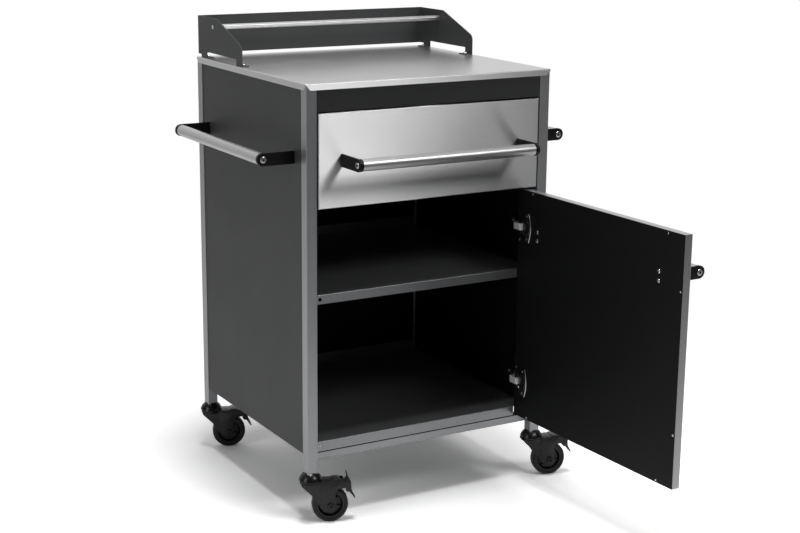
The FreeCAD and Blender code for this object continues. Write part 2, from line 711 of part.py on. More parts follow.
def make_door_liner():
    """The inner panel of the door, screwed on around its edge."""
    edge = DOOR_EDGE - FIT
    liner = box(-edge, edge, DOOR_BACK_FACE - THICK_SHEET, DOOR_BACK_FACE,
                DOOR_BOTTOM + FIT, DOOR_TOP - FIT)
    liner = liner.cut(cup_space(FIT))
    for x, z in door_screw_places():
        liner = liner.cut(cylinder(Vector(x, DOOR_BACK_FACE - 3, z), Y_AXIS,
                                   SMALL_SHANK / 2 + SHAFT_FIT, 6))
    for x, z in door_backing_places():
        liner = liner.cut(cylinder(Vector(x, DOOR_BACK_FACE - 3, z), Y_AXIS,
                                   MEDIUM_SHANK / 2 + SHAFT_FIT, 6))
    for x, z in cup_screw_places():
        liner = liner.cut(cylinder(Vector(x, DOOR_BACK_FACE - 3, z), Y_AXIS,
                                   SMALL_SHANK / 2 + SHAFT_FIT, 6))
    return liner


def make_door_backing(sign):
    """A block inside the door that the handle arm and two screws grip."""
    x = sign * (DOOR_BOLT_X + HANDLE_LENGTH / 2) / 2
    block = box(x - DOOR_BACKING_WIDTH / 2, x + DOOR_BACKING_WIDTH / 2, FRONT + SHEET,
                DOOR_BACK_FACE - THICK_SHEET, DOOR_HANDLE_Z - DOOR_BACKING_HEIGHT / 2,
                DOOR_HANDLE_Z + DOOR_BACKING_HEIGHT / 2)
    for sx, sz in door_backing_places():
        block = block.cut(cylinder(Vector(sx, DOOR_BACK_FACE, sz), Y_AXIS * -1,
                                   MEDIUM_SHANK / 2 + SHAFT_FIT, MEDIUM_LENGTH + 1))
    return block


# Concealed hinges, the door half

def cup_screw_places():
    x = CUP_X - CUP_SCREW_OFFSET
    return [(x, z + up) for z in HINGE_HEIGHTS for up in (-CUP_SCREW_SPACING / 2,
                                                          CUP_SCREW_SPACING / 2)]


def flange_outline(z):
    """The flange plate: straight near edge, bowed far edge."""
    near = DOOR_EDGE - CUP_CENTRE + CUP_RADIUS + CUP_FLANGE_MARGIN
    far = DOOR_EDGE - CUP_FLANGE_REACH
    shoulder = far + CUP_FLANGE_SHOULDER
    half = CUP_FLANGE_HEIGHT / 2
    y = DOOR_BACK_FACE
    shoulder_near = near - CUP_FLANGE_NECK
    bottom = Vector(shoulder, y, z - half)
    top = Vector(shoulder, y, z + half)
    bow = Part.Arc(top, Vector(far, y, z), bottom).toShape()
    corners = [bottom, Vector(shoulder_near, y, z - half),
               Vector(near, y, z - CUP_RADIUS), Vector(near, y, z + CUP_RADIUS),
               Vector(shoulder_near, y, z + half), top]
    sides = Part.makePolygon(corners)
    return Part.Wire([bow] + sides.Edges)


def make_hinge_cup(z):
    """The cup, its screw flange and the pin that the arm turns on."""
    bottom = Vector(CUP_X, DOOR_BACK_FACE - CUP_DEPTH, z)
    outer = cylinder(bottom, Y_AXIS, CUP_RADIUS, CUP_DEPTH)
    flange = Part.Face(flange_outline(z)).extrude(Vector(0, CUP_FLANGE, 0))
    inner = cylinder(bottom + Vector(0, CUP_WALL, 0), Y_AXIS, CUP_RADIUS - CUP_WALL,
                     CUP_DEPTH + CUP_FLANGE)
    cup = outer.fuse(flange).cut(inner)
    offset = PIVOT_X - CUP_X
    chord = sqrt((CUP_RADIUS - CUP_WALL / 2) ** 2 - offset ** 2)
    pin = cylinder(Vector(PIVOT_X, PIVOT_Y, z - chord), Z_AXIS, PIVOT_PIN / 2, 2 * chord)
    for x, sz in cup_screw_places():
        cup = cup.cut(cylinder(Vector(x, DOOR_BACK_FACE - 1, sz), Y_AXIS,
                               SMALL_SHANK / 2 + SHAFT_FIT, CUP_FLANGE + 2))
    return cup.fuse(pin)


# Concealed hinges, the cabinet half

def arm_strip(points, z):
    """A bent strip through a list of centre points, one solid."""
    half = ARM_SHEET / 2
    low = z - ARM_WIDTH / 2
    pieces = []
    for (xa, ya), (xb, yb) in zip(points, points[1:]):
        pieces.append(box(min(xa, xb) - half, max(xa, xb) + half, min(ya, yb) - half,
                          max(ya, yb) + half, low, low + ARM_WIDTH))
    return pieces[0].fuse(pieces[1:]).removeSplitter()


def arm_rear():
    return PIVOT_Y + ARM_HOOK_RISE + ARM_BODY_LENGTH


def make_hinge_arm(z):
    """A hooked arm: it leaves the cup, goes round the door's edge to the wall."""
    body_inner = LINER_X - PLATE_THICKNESS - ARM_BODY_DEPTH
    route = [(PIVOT_X, PIVOT_Y - ARM_HOOK_DROP),
             (PIVOT_X - ARM_HOOK_REACH, PIVOT_Y - ARM_HOOK_DROP),
             (PIVOT_X - ARM_HOOK_REACH, PIVOT_Y + ARM_HOOK_RISE),
             (body_inner + ARM_SHEET, PIVOT_Y + ARM_HOOK_RISE)]
    low = z - ARM_WIDTH / 2
    knuckle = cylinder(Vector(PIVOT_X, PIVOT_Y, low), Z_AXIS, KNUCKLE_RADIUS, ARM_WIDTH)
    body = box(body_inner, LINER_X - PLATE_THICKNESS, PIVOT_Y + ARM_HOOK_RISE - ARM_SHEET / 2,
               arm_rear(), low, low + ARM_WIDTH)
    arm = arm_strip(route, z).fuse([knuckle, body])
    pin_hole = cylinder(Vector(PIVOT_X, PIVOT_Y, low - 1), Z_AXIS,
                        PIVOT_PIN / 2 + SHAFT_FIT, ARM_WIDTH + 2)
    for y in arm_screw_places():
        arm = arm.cut(cylinder(Vector(body_inner - 1, y, z), X_AXIS,
                               MEDIUM_SHANK / 2 + SHAFT_FIT, ARM_BODY_DEPTH + 2))
    return arm.cut(pin_hole).removeSplitter()


def arm_screw_places():
    """Where the arm is screwed to its mounting plate."""
    last = arm_rear() - ARM_SCREW_INSET
    return (last, last - ARM_SCREW_SPACING)


def plate_screw_places():
    y = arm_rear() - PLATE_WIDTH / 2
    return [(y, z + up) for z in HINGE_HEIGHTS for up in (-PLATE_SCREW_SPACING / 2,
                                                          PLATE_SCREW_SPACING / 2)]


def make_hinge_plate(z):
    """The mounting plate between the hinge arm and the side liner."""
    rear = arm_rear()
    plate = box(LINER_X - PLATE_THICKNESS, LINER_X, rear - PLATE_WIDTH, rear,
                z - PLATE_HEIGHT / 2, z + PLATE_HEIGHT / 2)
    plate = rounded(plate, PLATE_CORNER, X_AXIS)
    for y, sz in plate_screw_places():
        plate = plate.cut(cylinder(Vector(LINER_X - PLATE_THICKNESS - 1, y, sz), X_AXIS,
                                   MEDIUM_SHANK / 2 + SHAFT_FIT, PLATE_THICKNESS + 2))
    for y in arm_screw_places():
        plate = plate.cut(cylinder(Vector(LINER_X - PLATE_THICKNESS - 1, y, z), X_AXIS,
                                   MEDIUM_SHANK / 2 + SHAFT_FIT, PLATE_THICKNESS + 2))
    return plate


def cabinet_screw_seats():
    """Every pan-head screw of the cabinet: (seat, axis)."""
    seats = []
    for y, z in plate_screw_places():
        seats.append((Vector(LINER_X - PLATE_THICKNESS, y, z), X_AXIS))
    arm_face = LINER_X - PLATE_THICKNESS - ARM_BODY_DEPTH
    for z in HINGE_HEIGHTS:
        for y in arm_screw_places():
            seats.append((Vector(arm_face, y, z), X_AXIS))
    bracket_z = -MIDDLE_SHELF_DROP - THICK_SHEET - BRACKET_LEG / 2
    for side, y in bracket_places():
        seats.append((Vector(side * (LINER_X - BRACKET_SHEET), y, bracket_z), X_AXIS * side))
    return seats


def liner_with_screw_holes(liner, side):
    """Clears the cabinet screws out of a side liner."""
    for seat, axis in cabinet_screw_seats():
        if seat.x * side > 0:
            liner = liner.cut(cylinder(seat, axis, MEDIUM_SHANK / 2 + SHAFT_FIT,
                                       MEDIUM_LENGTH + ARM_BODY_DEPTH))
    return liner


# Upstand

def upstand_wing():
    """The right-hand wing in side view, with its two legs."""
    back = UPSTAND_Y
    front = UPSTAND_Y - UPSTAND_REACH
    x = UPSTAND_X
    outline = [(back, UPSTAND_LIFT), (back, UPSTAND_HEIGHT),
               (back - UPSTAND_BEND_AT, UPSTAND_HEIGHT), (front, UPSTAND_NOSE_HEIGHT),
               (front, 0), (front + LEG_WIDTH, 0), (front + LEG_WIDTH, UPSTAND_ARCH),
               (back - REAR_LEG_START - LEG_WIDTH, UPSTAND_ARCH),
               (back - REAR_LEG_START - LEG_WIDTH, 0), (back - REAR_LEG_START, 0),
               (back - REAR_LEG_START, UPSTAND_LIFT)]
    wing = prism([Vector(x, y, z) for y, z in outline], Vector(-UPSTAND_SHEET, 0, 0))
    nose = rounded(wing, UPSTAND_NOSE_RADIUS, X_AXIS,
                   lambda m: abs(m.y - front) < 1e-6 and abs(m.z - UPSTAND_NOSE_HEIGHT) < 1e-6)
    screw_hole = cylinder(Vector(x + 1, UPSTAND_Y - ROD_FROM_BACK, ROD_HEIGHT), X_AXIS * -1,
                          ROD_SCREW_SHANK / 2 + SHAFT_FIT, UPSTAND_SHEET + 2)
    return nose.cut(screw_hole)


def make_upstand():
    """One folded sheet: a back, two wings and four feet turned inwards."""
    back = box(-UPSTAND_X, UPSTAND_X, UPSTAND_Y - UPSTAND_SHEET, UPSTAND_Y,
               UPSTAND_LIFT, UPSTAND_HEIGHT)
    wing = upstand_wing()
    shape = back.fuse([wing, mirrored(wing)]).removeSplitter()
    shape = rounded(shape, UPSTAND_BEND, Z_AXIS,
                    lambda m: abs(m.y - UPSTAND_Y) < 1e-6 and abs(abs(m.x) - UPSTAND_X) < 1e-6)
    shape = rounded(shape, UPSTAND_BEND - UPSTAND_SHEET, Z_AXIS,
                    lambda m: abs(m.y - UPSTAND_Y + UPSTAND_SHEET) < 1e-6
                    and abs(abs(m.x) - UPSTAND_X + UPSTAND_SHEET) < 1e-6)
    for side, y in foot_places():
        seat = foot_bolt_seat(side, y)
        foot = box(side * UPSTAND_X, side * (UPSTAND_X - UPSTAND_SHEET - FOOT_LENGTH),
                   y - LEG_WIDTH / 2, y + LEG_WIDTH / 2, 0, UPSTAND_SHEET)
        hole = cylinder(Vector(seat.x, seat.y, -1), Z_AXIS,
                        FOOT_BOLT_SHANK / 2 + SHAFT_FIT, UPSTAND_SHEET + 2)
        shape = shape.fuse(foot).cut(hole)
    return shape.removeSplitter()


def make_foot_bolt(side, y):
    seat = foot_bolt_seat(side, y)
    return screw(seat, Z_AXIS * -1, FOOT_BOLT_HEAD, FOOT_BOLT_HEAD_HEIGHT,
                 FOOT_BOLT_SHANK, FOOT_BOLT_LENGTH)


def make_rod():
    half = UPSTAND_X - UPSTAND_SHEET
    start = Vector(-half, UPSTAND_Y - ROD_FROM_BACK, ROD_HEIGHT)
    rod = cylinder(start, X_AXIS, ROD_DIAMETER / 2, 2 * half)
    tapped = cylinder(start, X_AXIS, ROD_SCREW_SHANK / 2 + SHAFT_FIT, ROD_SCREW_LENGTH)
    return rod.cut([tapped, mirrored(tapped)])


def make_rod_screw():
    seat = Vector(UPSTAND_X, UPSTAND_Y - ROD_FROM_BACK, ROD_HEIGHT)
    return screw(seat, X_AXIS * -1, ROD_SCREW_HEAD, ROD_SCREW_HEAD_HEIGHT,
                 ROD_SCREW_SHANK, ROD_SCREW_LENGTH)


# Casters, drawn with the swivel axis at x = y = 0, the wheel towards +X and
# heights above the floor, then turned to their heading and set under a post

def make_socket():
    """The domed plastic socket that grips the foot of a post."""
    centre = Vector(0, 0, SOCKET_CENTRE_HEIGHT)
    dome = Part.makeSphere(SOCKET_RADIUS, centre)
    size = 2 * SOCKET_RADIUS
    dome = dome.cut(box(-size, size, -size, size, 0, SOCKET_BASE_HEIGHT))
    half = POST_SIZE / 2 + SHAFT_FIT
    dome = dome.cut(box(-half, half, -half, half, POST_END_HEIGHT, POST_END_HEIGHT + size))
    plug_half = POST_SIZE / 2 - POST_WALL - FIT
    plug = box(-plug_half, plug_half, -plug_half, plug_half, SOCKET_BASE_HEIGHT,
               POST_END_HEIGHT + SOCKET_PLUG_LENGTH)
    plug = rounded(plug, POST_CORNER, Z_AXIS)
    bore = cylinder(Vector(0, 0, SOCKET_BASE_HEIGHT - 1), Z_AXIS, STEM_RADIUS + SHAFT_FIT,
                    SOCKET_PLUG_LENGTH * 2)
    return dome.fuse(plug).cut(bore).removeSplitter()


def make_stem():
    """The king pin: it hangs the fork from the socket."""
    head_top = FORK_RING_BASE - SHAFT_FIT
    head = cylinder(Vector(0, 0, head_top - STEM_HEAD), Z_AXIS, STEM_HEAD_RADIUS, STEM_HEAD)
    top = POST_END_HEIGHT + SOCKET_PLUG_LENGTH - 2
    shaft = cylinder(Vector(0, 0, head_top - 1), Z_AXIS, STEM_RADIUS, top - head_top + 1)
    return head.fuse(shaft).removeSplitter()


def around_axle(points):
    return [(CASTER_TRAIL + x, WHEEL_RADIUS + h) for x, h in points]


def fork_side_outline():
    """One cheek of the fork in side view, as (x, height)."""
    top = FORK_PLATE_TOP
    nose = [(-FORK_NOSE, top - FORK_CHAMFER), (-FORK_NOSE, top - FORK_NOSE_DEPTH)]
    tail = [(FORK_TAIL, top - FORK_TAIL_DEPTH), (FORK_TAIL, top - FORK_CHAMFER),
            (FORK_TAIL - FORK_CHAMFER, top), (-FORK_NOSE + FORK_CHAMFER, top)]
    return nose + around_axle(CHEEK_EDGE) + tail


def fork_web_outline():
    """The plate that joins the cheeks along their slanted front edge."""
    inset = FORK_WEB_INSET
    low_x, low_h = around_axle(CHEEK_EDGE)[0]
    end_x, end_h = low_x - inset, low_h + 3 * inset
    corner_x = -FORK_NOSE + FORK_CHAMFER
    return [(-FORK_NOSE + inset, FORK_PLATE_TOP - FORK_NOSE_DEPTH + inset), (end_x, end_h),
            (end_x + FORK_WEB_SHEET, end_h + FORK_WEB_SHEET),
            (corner_x + inset, FORK_PLATE_TOP - 2 * inset),
            (corner_x, FORK_PLATE_TOP - 2 * inset),
            (-FORK_NOSE + inset, FORK_PLATE_TOP - FORK_CHAMFER - inset)]


def make_fork():
    """The swivelling fork: ring, top plate, two cheeks and a front web."""
    reach = FORK_INNER + FORK_SHEET / 3
    cheek = prism([Vector(x, FORK_INNER, h) for x, h in fork_side_outline()],
                  Vector(0, FORK_SHEET, 0))
    cheek = rounded(cheek, CHEEK_CORNER, Y_AXIS, lambda m: m.z < WHEEL_RADIUS * 1.5)
    other = cheek.mirror(Vector(0, 0, 0), Y_AXIS)
    plate = box(-FORK_PLATE_NOSE, FORK_PLATE_TAIL, -reach, reach,
                FORK_PLATE_TOP - FORK_SHEET, FORK_PLATE_TOP - SHAFT_FIT)
    web = prism([Vector(x, -reach, h) for x, h in fork_web_outline()], Vector(0, 2 * reach, 0))
    ring_height = SOCKET_BASE_HEIGHT - SHAFT_FIT - FORK_RING_BASE
    ring = cylinder(Vector(0, 0, FORK_RING_BASE), Z_AXIS, FORK_RING_RADIUS, ring_height)
    groove_base = Vector(0, 0, FORK_RING_BASE + FORK_GROOVE_RISE)
    groove = cylinder(groove_base, Z_AXIS, FORK_RING_RADIUS * 2, FORK_GROOVE_WIDTH)
    groove = groove.cut(cylinder(groove_base, Z_AXIS, FORK_RING_RADIUS - FORK_GROOVE_DEPTH,
                                 FORK_GROOVE_WIDTH))
    fork = ring.cut(groove).fuse([plate, cheek, other, web])
    bore = cylinder(Vector(0, 0, 0), Z_AXIS, STEM_RADIUS + SHAFT_FIT, SOCKET_BASE_HEIGHT)
    axle_bore = cylinder(Vector(CASTER_TRAIL, -2 * FORK_OUTER, WHEEL_RADIUS), Y_AXIS,
                         AXLE_RADIUS + SHAFT_FIT, 4 * FORK_OUTER)
    brake_bore = cylinder(Vector(BRAKE_REACH, -2 * FORK_OUTER, BRAKE_PIVOT_HEIGHT), Y_AXIS,
                          BRAKE_PIN_RADIUS + SHAFT_FIT, 4 * FORK_OUTER)
    return fork.cut([bore, axle_bore, brake_bore]).removeSplitter()


def make_axle():
    """The axle bolt with a round head at each end."""
    axle = cylinder(Vector(CASTER_TRAIL, -FORK_OUTER, WHEEL_RADIUS), Y_AXIS, AXLE_RADIUS,
                    2 * FORK_OUTER)
    head = cylinder(Vector(CASTER_TRAIL, FORK_OUTER, WHEEL_RADIUS), Y_AXIS,
                    AXLE_HEAD_RADIUS, AXLE_HEAD)
    rim = [e for e in head.Edges if e.CenterOfMass.y > FORK_OUTER + AXLE_HEAD / 2
           and e.Curve.TypeId == "Part::GeomCircle"]
    head = head.makeFillet(AXLE_HEAD * 0.3, rim)
    socket = cylinder(Vector(CASTER_TRAIL, FORK_OUTER + AXLE_HEAD, WHEEL_RADIUS),
                      Y_AXIS * -1, AXLE_HEAD_RADIUS * 0.42, AXLE_HEAD * 0.6)
    head = head.cut(socket)
    return axle.fuse([head, head.mirror(Vector(0, 0, 0), Y_AXIS)])


def wheel_profile(points):
    """Revolves (half width, radius) points about the axle."""
    centre = Vector(CASTER_TRAIL, 0, WHEEL_RADIUS)
    outline = [centre + Vector(0, y, r) for y, r in points]
    face = Part.Face(Part.makePolygon(outline + [outline[0]]))
    return face.revolve(centre, Y_AXIS, 360)


def make_tyre():
    inner = WHEEL_RADIUS - TYRE_DEPTH
    half = WHEEL_HALF
    tyre = wheel_profile([(-half, inner), (-half, WHEEL_RADIUS), (half, WHEEL_RADIUS),
                          (half, inner)])
    rims = [e for e in tyre.Edges if e.Curve.TypeId == "Part::GeomCircle"
            and abs(e.Curve.Radius - WHEEL_RADIUS) < 1e-6]
    return tyre.makeFillet(TYRE_CROWN, rims)


def make_rim():
    outer = WHEEL_RADIUS - TYRE_DEPTH
    hub = FORK_INNER - FIT
    lip = WHEEL_HALF - RIM_LIP_INSET
    web = RIM_WEB / 2
    bore = AXLE_RADIUS + SHAFT_FIT
    half = [(hub, bore), (hub, HUB_RADIUS), (web, HUB_RADIUS + RIM_SLOPE),
            (web, outer - RIM_LIP - RIM_SLOPE), (lip, outer - RIM_LIP), (lip, outer)]
    other = [(-y, r) for y, r in reversed(half)]
    return wheel_profile(half + other)


def make_brake():
    """The foot lever: hub, pad over the tyre, and two thin blades."""
    half = FORK_INNER - FIT
    side = half - BRAKE_SIDE_INSET
    outline = [Vector(BRAKE_REACH + x, -side, BRAKE_PIVOT_HEIGHT + h) for x, h in LEVER_EDGE]
    lever = prism(outline, Vector(0, 2 * side, 0))
    hub = cylinder(Vector(BRAKE_REACH, -half, BRAKE_PIVOT_HEIGHT), Y_AXIS,
                   BRAKE_HUB_RADIUS, 2 * half)
    pin = cylinder(Vector(BRAKE_REACH, -FORK_OUTER, BRAKE_PIVOT_HEIGHT), Y_AXIS,
                   BRAKE_PIN_RADIUS, 2 * FORK_OUTER)
    return lever.fuse([hub, pin]).removeSplitter()


def set_caster(shape, corner):
    """Turns a caster piece to its heading and sets it under its post."""
    side_x = 1 if "right" in corner else -1
    side_y = 1 if "rear" in corner else -1
    copy = turned(shape, Vector(0, 0, 0), Z_AXIS, HEADINGS[corner])
    return moved(copy, Vector(side_x * POST_X, side_y * POST_Y, FLOOR))


def set_socket(shape, corner):
    """Sets a piece under its post without turning it."""
    side_x = 1 if "right" in corner else -1
    side_y = 1 if "rear" in corner else -1
    return moved(shape, Vector(side_x * POST_X, side_y * POST_Y, FLOOR))


def build_frame():
    for corner in HEADINGS:
        side_x = 1 if "right" in corner else -1
        side_y = 1 if "rear" in corner else -1
        export("post_" + corner, make_post(side_x, side_y))
    export("worktop", make_worktop())
    export("fascia", make_fascia())
    export("right_side_panel", make_side_panel())
    export("left_side_panel", mirrored(make_side_panel()))
    export("rear_panel", make_rear_panel())
    export("right_side_liner", liner_with_screw_holes(make_side_liner(), 1))
    export("left_side_liner", liner_with_screw_holes(mirrored(make_side_liner()), -1))
    export("rear_liner", make_rear_liner())
    export("middle_shelf", make_shelf(-MIDDLE_SHELF_DROP, MIDDLE_SHELF_EDGE, THICK_SHEET))
    export("bottom_shelf", make_shelf(-BOTTOM_SHELF_DROP, BOTTOM_SHELF_EDGE, BOTTOM_SHELF_EDGE))
    export("front_bottom_rail", make_rail(SHELF_FRONT))
    export("rear_bottom_rail", make_rail(LINER_Y - FIT - RAIL_WIDTH))
    export("shelf_brackets", *[make_shelf_bracket(side, y) for side, y in bracket_places()])
    export("cabinet_screws", *[medium_screw(seat, axis) for seat, axis in cabinet_screw_seats()])


def build_upstand():
    export("upstand", make_upstand())
    export("upstand_bolts", *[make_foot_bolt(side, y) for side, y in foot_places()],
           *both_ends(make_rod_screw()))
    export("upstand_rod", make_rod())


def build_handles():
    arms = both_ends(make_handle_arm())
    screws = both_ends(make_handle_screw())
    tube = make_handle_tube()
    drawer_at = Vector(0, FRONT, (DRAWER_TOP + DRAWER_BOTTOM) / 2)
    export("drawer_handle_tube", place_handle(tube, drawer_at, 0))
    export("drawer_handle_arms", *[place_handle(a, drawer_at, 0) for a in arms])
    export("drawer_handle_screws", *[place_handle(s, drawer_at, 0) for s in screws])
    door_at = Vector(0, FRONT, DOOR_HANDLE_Z)
    door_screws = [medium_screw(Vector(x, DOOR_BACK_FACE, z), Y_AXIS * -1)
                   for x, z in door_backing_places()]
    export("door_handle_tube", opened(place_handle(tube, door_at, 0)))
    export("door_handle_arms", *[opened(place_handle(a, door_at, 0)) for a in arms])
    export("door_handle_screws",
           *[opened(place_handle(s, door_at, 0)) for s in screws],
           *[opened(s) for s in door_screws])
    left_at = Vector(-PANEL_OUTER_X, 0, -SIDE_HANDLE_DROP)
    right_at = Vector(PANEL_OUTER_X, 0, -SIDE_HANDLE_DROP)
    export("left_handle_tube", place_handle(tube, left_at, -90))
    export("right_handle_tube", place_handle(tube, right_at, 90))
    export("side_handle_arms",
           *[place_handle(a, left_at, -90) for a in arms],
           *[place_handle(a, right_at, 90) for a in arms])
    export("side_handle_screws",
           *[place_handle(s, left_at, -90) for s in screws],
           *[place_handle(s, right_at, 90) for s in screws])


def build_drawer():
    export("drawer_front", make_drawer_front())
    export("drawer_inner_front", make_drawer_inner_front())
    export("drawer_right_side", make_drawer_side())
    export("drawer_left_side", mirrored(make_drawer_side()))
    export("drawer_bottom", make_drawer_bottom())
    export("drawer_back", make_drawer_back())
    export("runner_channels", *both_ends(make_runner_channel()))
    export("runner_middle_members", *both_ends(make_runner_middle()))
    export("runner_drawer_rails", *both_ends(make_runner_rail()))


def build_door():
    screws = [small_screw(Vector(x, DOOR_BACK_FACE, z), Y_AXIS * -1)
              for x, z in door_screw_places()]
    screws += [small_screw(Vector(x, DOOR_BACK_FACE + CUP_FLANGE, z), Y_AXIS * -1)
               for x, z in cup_screw_places()]
    export("door_skin", opened(make_door_skin()))
    export("door_liner", opened(make_door_liner()))
    export("door_screws", *[opened(s) for s in screws])
    export("hinge_cups", *[opened(make_hinge_cup(z)) for z in HINGE_HEIGHTS])
    export("hinge_arms", *[make_hinge_arm(z) for z in HINGE_HEIGHTS])
    export("hinge_plates", *[make_hinge_plate(z) for z in HINGE_HEIGHTS])
    export("door_handle_backing", *[opened(make_door_backing(sign)) for sign in (-1, 1)])


def build_casters():
    socket = make_socket()
    stem = make_stem()
    fork = make_fork()
    axle = make_axle()
    tyre = make_tyre()
    rim = make_rim()
    brake = make_brake()
    export("caster_sockets", *[set_socket(piece, corner) for corner in HEADINGS
                               for piece in (socket, stem)])
    for corner in HEADINGS:
        export(corner + "_fork", set_caster(fork, corner), set_caster(axle, corner))
        export(corner + "_wheel", set_caster(tyre, corner), set_caster(rim, corner))
        export(corner + "_brake", set_caster(brake, corner))


os.makedirs("parts", exist_ok=True)
build_frame()
build_upstand()
build_handles()
build_drawer()
build_door()
build_casters()
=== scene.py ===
import math

import bmesh
import bpy
from mathutils import Matrix, Vector


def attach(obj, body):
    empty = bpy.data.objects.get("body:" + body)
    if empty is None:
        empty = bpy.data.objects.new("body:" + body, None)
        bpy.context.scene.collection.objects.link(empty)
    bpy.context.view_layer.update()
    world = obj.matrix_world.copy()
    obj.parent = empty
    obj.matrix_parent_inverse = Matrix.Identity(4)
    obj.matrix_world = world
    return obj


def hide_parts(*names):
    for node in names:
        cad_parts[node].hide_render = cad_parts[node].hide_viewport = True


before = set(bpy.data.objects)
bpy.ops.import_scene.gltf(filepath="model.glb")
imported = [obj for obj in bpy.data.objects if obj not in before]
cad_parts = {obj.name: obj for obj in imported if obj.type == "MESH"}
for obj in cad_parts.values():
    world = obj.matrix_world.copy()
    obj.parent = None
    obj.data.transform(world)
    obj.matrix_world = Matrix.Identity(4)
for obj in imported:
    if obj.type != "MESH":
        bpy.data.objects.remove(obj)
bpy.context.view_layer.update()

# A storage trolley on casters with its door open, seen from its front left on a
# white floor. Lengths are in metres, angles in degrees and lamps in watts. The
# origin is the middle of the worktop's upper face.

# Camera
CAMERA_PLACE = Vector((-1.7668, -3.1889, 0.4188))
CAMERA_AZIMUTH = -30.163
CAMERA_ELEVATION = 13.866
CAMERA_ROLL = 0.558
CAMERA_LENS = 71.47
CAMERA_REACH = 50

# Floor, room and lamps
FLOOR_SIZE = 12
FLOOR_WHITE = 0.86
# The floor's colour as the cart sees it dims from FLOOR_WHITE to FLOOR_DIM in front of it: a
# painted pool of light
FLOOR_DIM = 0.22
FLOOR_DIM_FROM = 0.5
FLOOR_DIM_TO = 2.0
FLOOR_SEEN = 1.42
FLOOR_FADE = (1.0, 2.2)
ROOM_BRIGHT_SIDE = (0.35, 1.0, 0.30)
ROOM_EDGE = 0.1
ROOM_BRIGHT = 1.0
ROOM_DIM = 0.05
LAMPS = {  # place, what it is aimed at, width, height, power
    "overhead": ((-0.15, -0.62, 5.0), (0, 0, -0.97), 1.45, 1.45, 195),
    "key": ((1.05, -2.5, 1.72), (0, 0, -0.3), 1.3, 1.0, 34),
    "left": ((-3.0, -0.6, 0.7), (0, 0, -0.4), 1.4, 2.0, 18),
}

# Places on the cart that the pieces follow
FLOOR = -0.966
FRONT = -0.2835
SIDE_FACE = 0.303
POST_X = 0.2925
POST_Y = 0.271
SIDE_HANDLE_Z = -0.161
DRAWER_HANDLE_Z = -0.16445
DOOR_HANDLE_Z = -0.3692
DOOR_BACK = FRONT + 0.021
DOOR_PIVOT = Vector((0.2615, -0.2772, 0.0))
DOOR_OPEN_ANGLE = 92.0
HINGE_HEIGHTS = (-0.3562, -0.7232)
CORNERS = {  # the side in x, the side in y, where the caster heads
    "front_left": (-1, -1, -19.8),
    "front_right": (1, -1, -14.7),
    "rear_left": (-1, 1, -20.9),
    "rear_right": (1, 1, -18.0),
}


# Node trees

class Tree:
    """A node tree under construction, with short names for what is done to it."""

    def __init__(self, tree):
        self.tree = tree

    def link(self, start, end):
        self.tree.links.new(start, end)

    def add(self, kind, inputs=None, **settings):
        """A node with its settings, and with its inputs linked or given a value."""
        node = self.tree.nodes.new(kind)
        for key, value in settings.items():
            setattr(node, key, value)
        for key, value in (inputs or {}).items():
            if isinstance(value, bpy.types.NodeSocket):
                self.link(value, node.inputs[key])
            else:
                node.inputs[key].default_value = value
        return node

    def math(self, operation, first, second=0.0):
        return self.add("ShaderNodeMath", {0: first, 1: second}, operation=operation).outputs[0]


class Look(Tree):
    """A material under construction."""

    def __init__(self, name):
        self.material = bpy.data.materials.new(name)
        self.material.use_nodes = True
        super().__init__(self.material.node_tree)
        self.shader = self.tree.nodes["Principled BSDF"]

    def base(self, **values):
        """Values that are the same all over the surface."""
        for key, value in values.items():
            self.shader.inputs[key.replace("_", " ")].default_value = value

    def noise(self, scale, size=1.0, detail=3.0, roughness=0.55):
        """A pattern on object coordinates, with a scale for each axis."""
        coordinates = self.add("ShaderNodeTexCoord")
        mapping = self.add("ShaderNodeMapping", {"Vector": coordinates.outputs["Object"],
                                                 "Scale": scale})
        node = self.add("ShaderNodeTexNoise", {"Vector": mapping.outputs["Vector"],
                                               "Scale": size, "Detail": detail,
                                               "Roughness": roughness})
        return node.outputs["Fac"]

    def range(self, value, low, high, start=0.3, end=0.7):
        """Maps a value from start..end to low..high."""
        node = self.add("ShaderNodeMapRange", {"Value": value, "From Min": start,
                                               "From Max": end, "To Min": low, "To Max": high})
        return node.outputs["Result"]

    def blend(self, value, first, second):
        """A colour between two, by a value."""
        node = self.add("ShaderNodeMix", {"Factor": value, "A": first, "B": second},
                        data_type="RGBA")
        return node.outputs["Result"]

    def colour(self, pattern, dark, light):
        self.link(self.blend(self.range(pattern, 0.0, 1.0), dark, light),
                  self.shader.inputs["Base Color"])

    def roughness(self, fine, drift=None):
        """The roughness by a fine pattern, with a slow drift added to it."""
        if drift is not None:
            fine = self.math("ADD", fine, drift)
        self.link(fine, self.shader.inputs["Roughness"])

    def bump(self, height, strength, distance):
        node = self.add("ShaderNodeBump", {"Height": height, "Strength": strength,
                                           "Distance": distance})
        self.link(node.outputs["Normal"], self.shader.inputs["Normal"])


# Finishes

EVEN = (1.0, 1.0, 1.0)
SCRATCH_ACROSS = 2600.0
SCRATCH_ALONG = 14.0
BAND_ACROSS = 260.0
BAND_ALONG = 2.0


def grey(value):
    return (value, value, value, 1.0)


def drawn_out(across, along, axis):
    """The scale of a pattern that is drawn out along one axis."""
    return [along if each == axis else across for each in "XYZ"]


